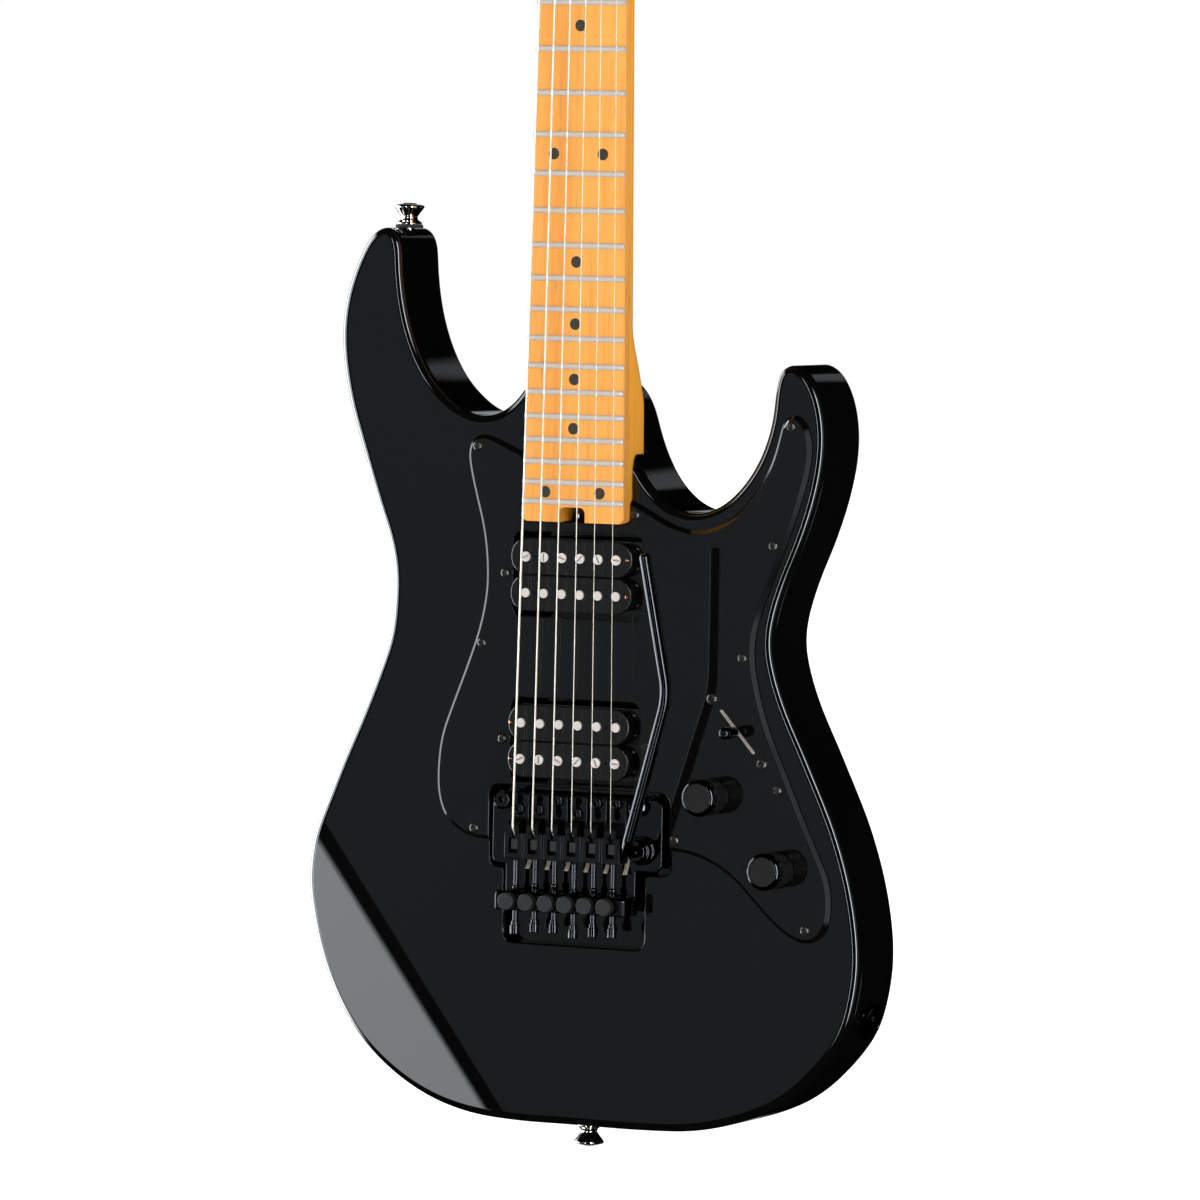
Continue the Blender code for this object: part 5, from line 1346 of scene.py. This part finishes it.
# %% Lock the nut
nut_low = NUT_Z + 0.3
nut_rings = []
for z, tuck in ((nut_low, 0.4), (nut_low + 0.4, 0), (nut_low + 14.6, 0), (nut_low + 15, 0.4)):
    half = NUT_WIDTH / 2 - tuck
    low, high = NECK_TOP - 0.3, STRING_Y_NUT + 0.3 + tuck
    corners = ((half, low), (-half, low), (-half, high + 1), (-half + 1, high), (half - 1, high),
               (half, high + 1))
    nut_rings.append([Vector((x, y, z)) for x, y in corners])
make_piece("nut_base", loft(nut_rings), BLACK_CHROME, "instrument",
           "locking_nut")
clamp_top = STRING_Y_NUT - 2 * STRING_RADII[0] - 0.3
nut_bolt = [(1.6, -1.2), (1.6, 0), (3.2, 0.1), (3.3, 0.4), (3.3, 2.3), (3.0, 2.7), (2.3, 2.8)]
for index in range(3):
    x = (string_x(2 * index, NUT_SPREAD) + string_x(2 * index + 1, NUT_SPREAD)) / 2
    shape = slab(rounded_box((x - 6.6, nut_low + 2), (x + 6.6, nut_low + 13.4), 1.6, 5),
                 clamp_top - 4.2, clamp_top, edge=0.8, steps=4)
    make_piece(f"nut_clamp_{index + 1}_pad", shape, BLACK_CHROME, "instrument",
               f"nut_clamp_{index + 1}")
    bolt = screw((x, clamp_top - 4.2, nut_low + 7.8), OUT, nut_bolt, hexagon(1.6), 2.0)
    make_piece(f"nut_bolt_{index + 1}", bolt, BLACK_CHROME, "instrument",
               angle=40)
retainer = tube([head_frame @ Vector((x, 9.5, 3.0 + 0.9 * math.cos(x / 12)))
                 for x in range(-21, 22, 2)], 1.9, 20)
print("three clamps at the nut")

# %% Hang the tuners
along, away = Vector((7.1, 25, 0)).normalized(), Vector((-25, 7.1, 0)).normalized()
pitch, back = Vector((7.1, 25, 0)).length, -HEAD_THICK - 0.3
housing_rings = []
profile = [(-11, 0), (pitch * 5 + 11, 0), (pitch * 5 + 11, -1.3), (pitch * 5 + 10.6, -1.7)]
for index in reversed(range(6)):
    s = pitch * index
    profile += [(s + 7.4, -1.7), (s + 7, -2.0), (s + 6.6, -8.6), (s + 5.6, -9.5), (s - 5.6, -9.5),
                (s - 6.6, -8.6), (s - 7, -2.0), (s - 7.4, -1.7)]
profile += [(-10.6, -1.7), (-11, -1.3)]
for t, squeeze in ((-5.5, 0.93), (-5.1, 1.0), (7.4, 1.0), (8.0, 0.93)):
    housing_rings.append([post_at(0) + along * s + away * t + Vector((0, 0, back + w * squeeze))
                          for s, w in profile])
housing = loft(housing_rings)
housing.transform(head_frame)


def worm_at(index):
    """The frame in which a key turns, square to its post."""
    return facing(post_at(index) + away * 4.6 + Vector((0, 0, back - 5.4)), away)


holes = []
for index in range(6):
    bore = lathe([(3.3, back - 6.3), (3.3, back + 3)], Matrix.Translation(post_at(index)), 24)
    side = lathe([(2.5, -0.6), (2.5, 9)], worm_at(index), 24)
    for bm in (bore, side):
        bm.transform(head_frame)
        holes.append(bm)
make_piece("tuner_housing", housing, BLACK_CHROME, "instrument", "tuner_plate",
           cuts=holes, angle=35)
post_profile = [(1.4, 8.2), (2.2, 9.0), (2.7, 8.9), (3.0, 8.4), (3.0, 6.4), (2.5, 5.7), (2.45, 4.4),
                (2.6, 3.2), (3.0, 2.6), (3.0, back - 6)]
washer = [(3.4, 0.15), (6.2, 0.15), (6.4, 0.5), (6.2, 0.9), (5.0, 1.1), (4.9, 2.2), (4.5, 2.4),
          (3.4, 2.4)]
key_rings = ((2.2, 2.2, -0.3), (2.2, 2.2, 6), (3.2, 3.2, 6.4), (3.2, 3.2, 8.6), (2.6, 2.6, 9.2),
             (3.6, 2.8, 10.2), (6.6, 3.2, 11.4), (9.4, 3.5, 13.0), (10.4, 3.7, 15.2),
             (10.5, 3.7, 17.2), (10.0, 3.6, 19.2), (8.9, 3.2, 21.2), (6.8, 2.6, 22.5),
             (4.0, 1.6, 23.0))
for index in range(6):
    post = lathe(post_profile, Matrix.Translation(post_at(index)), 36)
    ring = lathe(washer, Matrix.Translation(post_at(index)), 48, closed=True)
    turn = [2 * math.pi * k / 40 for k in range(40)]
    key = loft([[Vector((wide * math.cos(a), thick * math.sin(a), h)) for a in turn]
                for wide, thick, h in key_rings])
    key.transform(worm_at(index))
    for bm in (post, ring, key):
        bm.transform(head_frame)
    number = index + 1
    make_piece(f"post_{number}_turned", post, BLACK_CHROME, f"post_{number}",
               f"tuner_post_{number}", angle=50)
    make_piece(f"post_{number}_bushing", ring, BLACK_CHROME, "instrument",
               angle=40)
    make_piece(f"key_{number}_cast", key, BLACK_CHROME, f"key_{number}",
               f"tuner_key_{number}", angle=60)
bar_screw = [(1.5, -12), (1.5, 0), (2.6, 0.1), (2.5, 0.8), (1.9, 1.2)]
upright = head_frame.to_3x3() @ Vector((0, 0, 1))
retainer_ends = [screw(head_frame @ Vector((side * 19, 9.5, 4.4)), upright, bar_screw,
                       arms(1.3, 0.35), 0.7) for side in (-1, 1)]
make_piece("string_bar", retainer, BLACK_CHROME, "instrument", angle=60)
make_piece("string_bar_screws", joined(*retainer_ends), BLACK_CHROME, "instrument",
           angle=40)
print("six tuners")

# %% [markdown]
# ## The back
# Behind the bridge two coil springs pull the block against the strings. They hook into a claw
# whose two long screws set the pull. A plastic cover closes the cavity, and four screws through
# a steel plate hold the neck.

# %% Springs and claw
SPRING_Y, CLAW_LOW = BACK - 9.0, 249.0
HOOK = ((0, 0), (0, 3), (0, 6), (1.6, 8))
COIL_R, COIL_WIRE, COIL_TURNS, COIL_STEPS = 3.4, 0.6, 44, 14
for side, name in ((-1, "spring_bass"), (1, "spring_treble")):
    x, low, high = side * 10.8, 168.0, CLAW_LOW - 0.5
    coil_low, coil_high, count = low + 9, high - 9, COIL_TURNS * COIL_STEPS
    path = [Vector((x + aside, SPRING_Y, low + along)) for aside, along in HOOK]
    for k in range(count + 1):
        a = 2 * math.pi * k / COIL_STEPS
        path.append(Vector((x + COIL_R * math.cos(a), SPRING_Y + COIL_R * math.sin(a),
                            coil_low + (coil_high - coil_low) * k / count)))
    path += [Vector((x + aside, SPRING_Y, high - along)) for aside, along in reversed(HOOK)]
    spring = make_piece(name + "_coil", tube(path, COIL_WIRE, 8), SPRING_STEEL, "instrument",
                        name, angle=70)
    spring.modifiers.clear()
    spring.parent = None
    x * MM
    low * MM
    x * MM
    high * MM
    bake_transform(spring)
claw = slab(rounded_box((-27, SPRING_Y - 5.5), (27, SPRING_Y + 4.5), 1.5), CLAW_LOW,
            CLAW_LOW + 2.5, edge=0.4, both=True)
claw.transform(Matrix(((1, 0, 0, 0), (0, 0, 1, 0), (0, 1, 0, 0), (0, 0, 0, 1))))
bmesh.ops.reverse_faces(claw, faces=claw.faces)
make_piece("claw_plate", claw, PLATED_STEEL, "instrument", "spring_claw")
claw_screw = [(2.2, -34), (2.2, -3.5), (4.0, -3.4), (4.2, -2.6), (4.0, -1.2), (3.0, -0.3), (2.4, 0)]
for side in (-1, 1):
    make_piece(f"claw_screw_{'left' if side < 0 else 'right'}",
               screw((side * 18, SPRING_Y, CLAW_LOW - 3), (0, 0, -1), claw_screw,
                     arms(2.1, 0.5), 1.4), PLATED_STEEL, "instrument", angle=40)
print("springs and claw")

# %% Cover and neck plate
cover = slab(rounded_box((-38, 88), (38, 269), 8, 10), BACK - 2, BACK, edge=0.6, both=True)
cover_screws = [(side * 34, z) for side in (-1, 1) for z in (94, 178.5, 263)]
cover_cuts = [drill((x, BACK, z), 1.5, -3, 4, 24) for x, z in cover_screws]
make_piece("cover_sheet", cover, GUARD_PLASTIC, "instrument", "spring_cover",
           cuts=cover_cuts)
for number, (x, z) in enumerate(cover_screws):
    make_piece(f"cover_screw_{number + 1}",
               screw((x, BACK, z), (0, 1, 0), small_head, arms(1.25, 0.36), 0.8, 29 * number),
               BLACK_CHROME, "instrument", angle=40)
low, high = HEEL_END + 3, HEEL_END + 53
plate_corners = [(-24, low), (24, low), (24, high - 21), (18, high - 12), (-20, high),
                 (-24, high - 3)]
neck_plate = slab(round_corners(plate_corners, 3), BACK + 0.3, BACK + 2.3, edge=0.5, both=True)
make_piece("neck_plate_steel", neck_plate, BLACK_CHROME, "instrument",
           "neck_plate", angle=35)
neck_screw = [(2.3, -24), (2.3, -0.6), (4.2, 0.1), (4.2, 0.4), (3.7, 1.1), (2.8, 1.6)]
for number, (x, z) in enumerate(((-18, low + 7), (18, low + 6), (-18, low + 43), (13, low + 33))):
    make_piece(f"neck_screw_{number + 1}",
               screw((x, BACK + 2.3, z), (0, 1, 0), neck_screw, arms(2.3, 0.5), 1.3, 17 * number),
               BLACK_CHROME, "instrument", angle=40)
print("cover and neck plate")

# %% [markdown]
# ## The studio
# A black mirror shows only what surrounds it. Long white cards stand left and right, seen only
# in reflections, and draw the thin bright lines along the rounded edges. The sky is white to
# the camera and dim to mirrors, so that the gloss stays deep. A pale floor catches a soft
# contact shadow.

# %% Sky and floor
sky = bpy.data.worlds.new("studio_sky")
sky.use_nodes = True
bpy.context.scene.world = sky
tree = sky.node_tree
background = tree.nodes["Background"]
rays = tree.nodes.new("ShaderNodeLightPath")
white = tree.nodes.new("ShaderNodeMix")
white.data_type = "FLOAT"
SKY_LIGHT, SKY_WHITE, SKY_GLOSS = 0.75, 1.0, 0.0
choose = tree.nodes.new("ShaderNodeMix")
choose.data_type = "FLOAT"
white.inputs["A"].default_value, white.inputs["B"].default_value = SKY_LIGHT, SKY_WHITE
tree.links.new(rays.outputs["Is Camera Ray"], white.inputs["Factor"])
tree.links.new(rays.outputs["Is Glossy Ray"], choose.inputs["Factor"])
tree.links.new(white.outputs["Result"], choose.inputs["A"])
choose.inputs["B"].default_value = SKY_GLOSS
tree.links.new(choose.outputs["Result"], background.inputs["Strength"])
background.inputs["Color"].default_value = (1, 1, 1, 1)


def make_floor():
    paint = Paint("floor_white", Roughness=0.9, Emission_Strength=0.92)
    cloud = paint.noise(3.0, 2.0)
    tone = paint.mix(cloud, grey(0.90), grey(0.94))
    return paint.feed(Base_Color=tone, Emission_Color=tone)


FLOOR_RADIUS = 9000
floor_disc = lathe([(FLOOR_RADIUS, -12), (FLOOR_RADIUS, -1)], Matrix.Identity(4), 96)
floor = object_from("floor", floor_disc)
floor.data.materials.append(make_floor())
floor.visible_glossy = False
print("the sky and the floor are in")

# %% Cards and lamps
def make_glow(name, strength, size, soft, low):
    """Light that fades out towards the card's edges. `low` is its share at the lower edge."""
    paint = Paint(name, Emission_Strength=strength, Base_Color=(0, 0, 0, 1),
                  Specular_IOR_Level=0.0)
    spot = paint.node("ShaderNodeTexCoord").out("Object")
    split = paint.node("ShaderNodeSeparateXYZ", None, {"Vector": spot})
    glow = 1.0
    for axis, half in zip("XY", (size[0] / 2, size[1] / 2)):
        away = split.math("ABSOLUTE", split.out(axis), 0.0)
        glow = glow * (1.0 - paint.mask(away, half * (1 - soft), half))
    rise = paint.node("ShaderNodeMapRange", None,
                      {"Value": split.out("Y"), "From Min": -size[1] / 2,
                       "From Max": size[1] / 2, "To Min": low})
    return paint.feed(Emission_Color=paint.mix(glow * rise, grey(0.0), (0.90, 0.96, 1.0)))


CARDS_FACE, LAMPS_FACE = Vector((0, 0, 0.25)), Vector((0, 0, 0.3))


def card(name, azimuth, height, distance, size, strength, soft=0.4, low=1.0):
    """A glowing sheet that only mirrors see, turned to the guitar. Degrees and metres."""
    bm = bmesh.new()
    corners = [(x * size[0] / 2, y * size[1] / 2) for x, y in ((-1, -1), (1, -1), (1, 1), (-1, 1))]
    bm.faces.new([bm.verts.new((x, y, 0)) for x, y in corners])
    mesh = bpy.data.meshes.new(name)
    bm.to_mesh(mesh)
    bm.free()
    obj = bpy.data.objects.new(name, mesh)
    bpy.context.scene.collection.objects.link(obj)
    angle = math.radians(azimuth)
    spot = Vector((distance * math.cos(angle), distance * math.sin(angle), height))
    turn = (CARDS_FACE - spot).to_track_quat("Z", "Y").to_matrix().to_4x4()
    obj.matrix_world = Matrix.Translation(spot) @ turn
    obj.data.materials.append(make_glow(name + "_glow", strength, size, soft, low))
    obj.visible_camera = obj.visible_diffuse = False
    obj.visible_shadow = obj.visible_transmission = False


def lamp(name, at, size, power):
    light = bpy.data.lights.new(name, "AREA")
    light.shape, light.size, light.size_y, light.energy = "RECTANGLE", size[0], size[1], power
    obj = bpy.data.objects.new(name, light)
    turn = (LAMPS_FACE - Vector(at)).to_track_quat("-Z", "Y").to_matrix().to_4x4()
    obj.matrix_world = Matrix.Translation(Vector(at)) @ turn
    obj.visible_glossy = False
    bpy.context.scene.collection.objects.link(obj)


card("card_front", 243, 0.35, 4.5, (1.25, 3.4), 0.36, 0.15, 0.6)
card("card_bevel", 216, -0.86, 3.0, (1.15, 1.0), 5.3, 0.6, 0.7)
card("card_left", 174, 0.3, 2.6, (2.0, 3.4), 11.0, 0.3)
card("card_rim_left", 206, 0.3, 3.0, (0.42, 3.4), 15.0)
card("card_edge", 118, 0.3, 2.5, (0.6, 3.4), 0.55)
card("card_middle", 268, 0.3, 3.6, (0.2, 3.4), 20.0)
card("card_right", 315, 0.3, 2.6, (0.42, 3.4), 22.0)
card("card_rim", 333, 0.3, 2.6, (0.7, 3.4), 0.9)
card("card_back", 80, 1.45, 2.5, (0.6, 0.5), 0.30, 0.6)
card("card_rear", 45, -0.62, 2.5, (0.95, 0.7), 0.5, 0.5)
lamp("lamp_left", (-1.6, -2.2, 1.5), (1.2, 1.2), 38)
lamp("lamp_right", (1.9, -2.0, 1.3), (1.0, 1.0), 20)
bpy.context.scene.view_settings.view_transform = "Standard"
print("cards and lamps are in")

# %% [markdown]
# ## Pieces that keep their first shape
# The switch's body lies inside the control rout. Its own shape is right, so it only gets a
# finish.

# %% Finish for the hidden switch
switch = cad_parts["switch_body"]
switch.data.materials.clear()
switch.data.materials.append(PLATED_STEEL)
shown = [name for name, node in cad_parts.items() if not node.hide_render]
print("still shown as they were:", shown)

# %% [markdown]
# ## Finish
# The last cell counts the pieces that were made.

# %% Count the pieces
print(len(made), "pieces made")
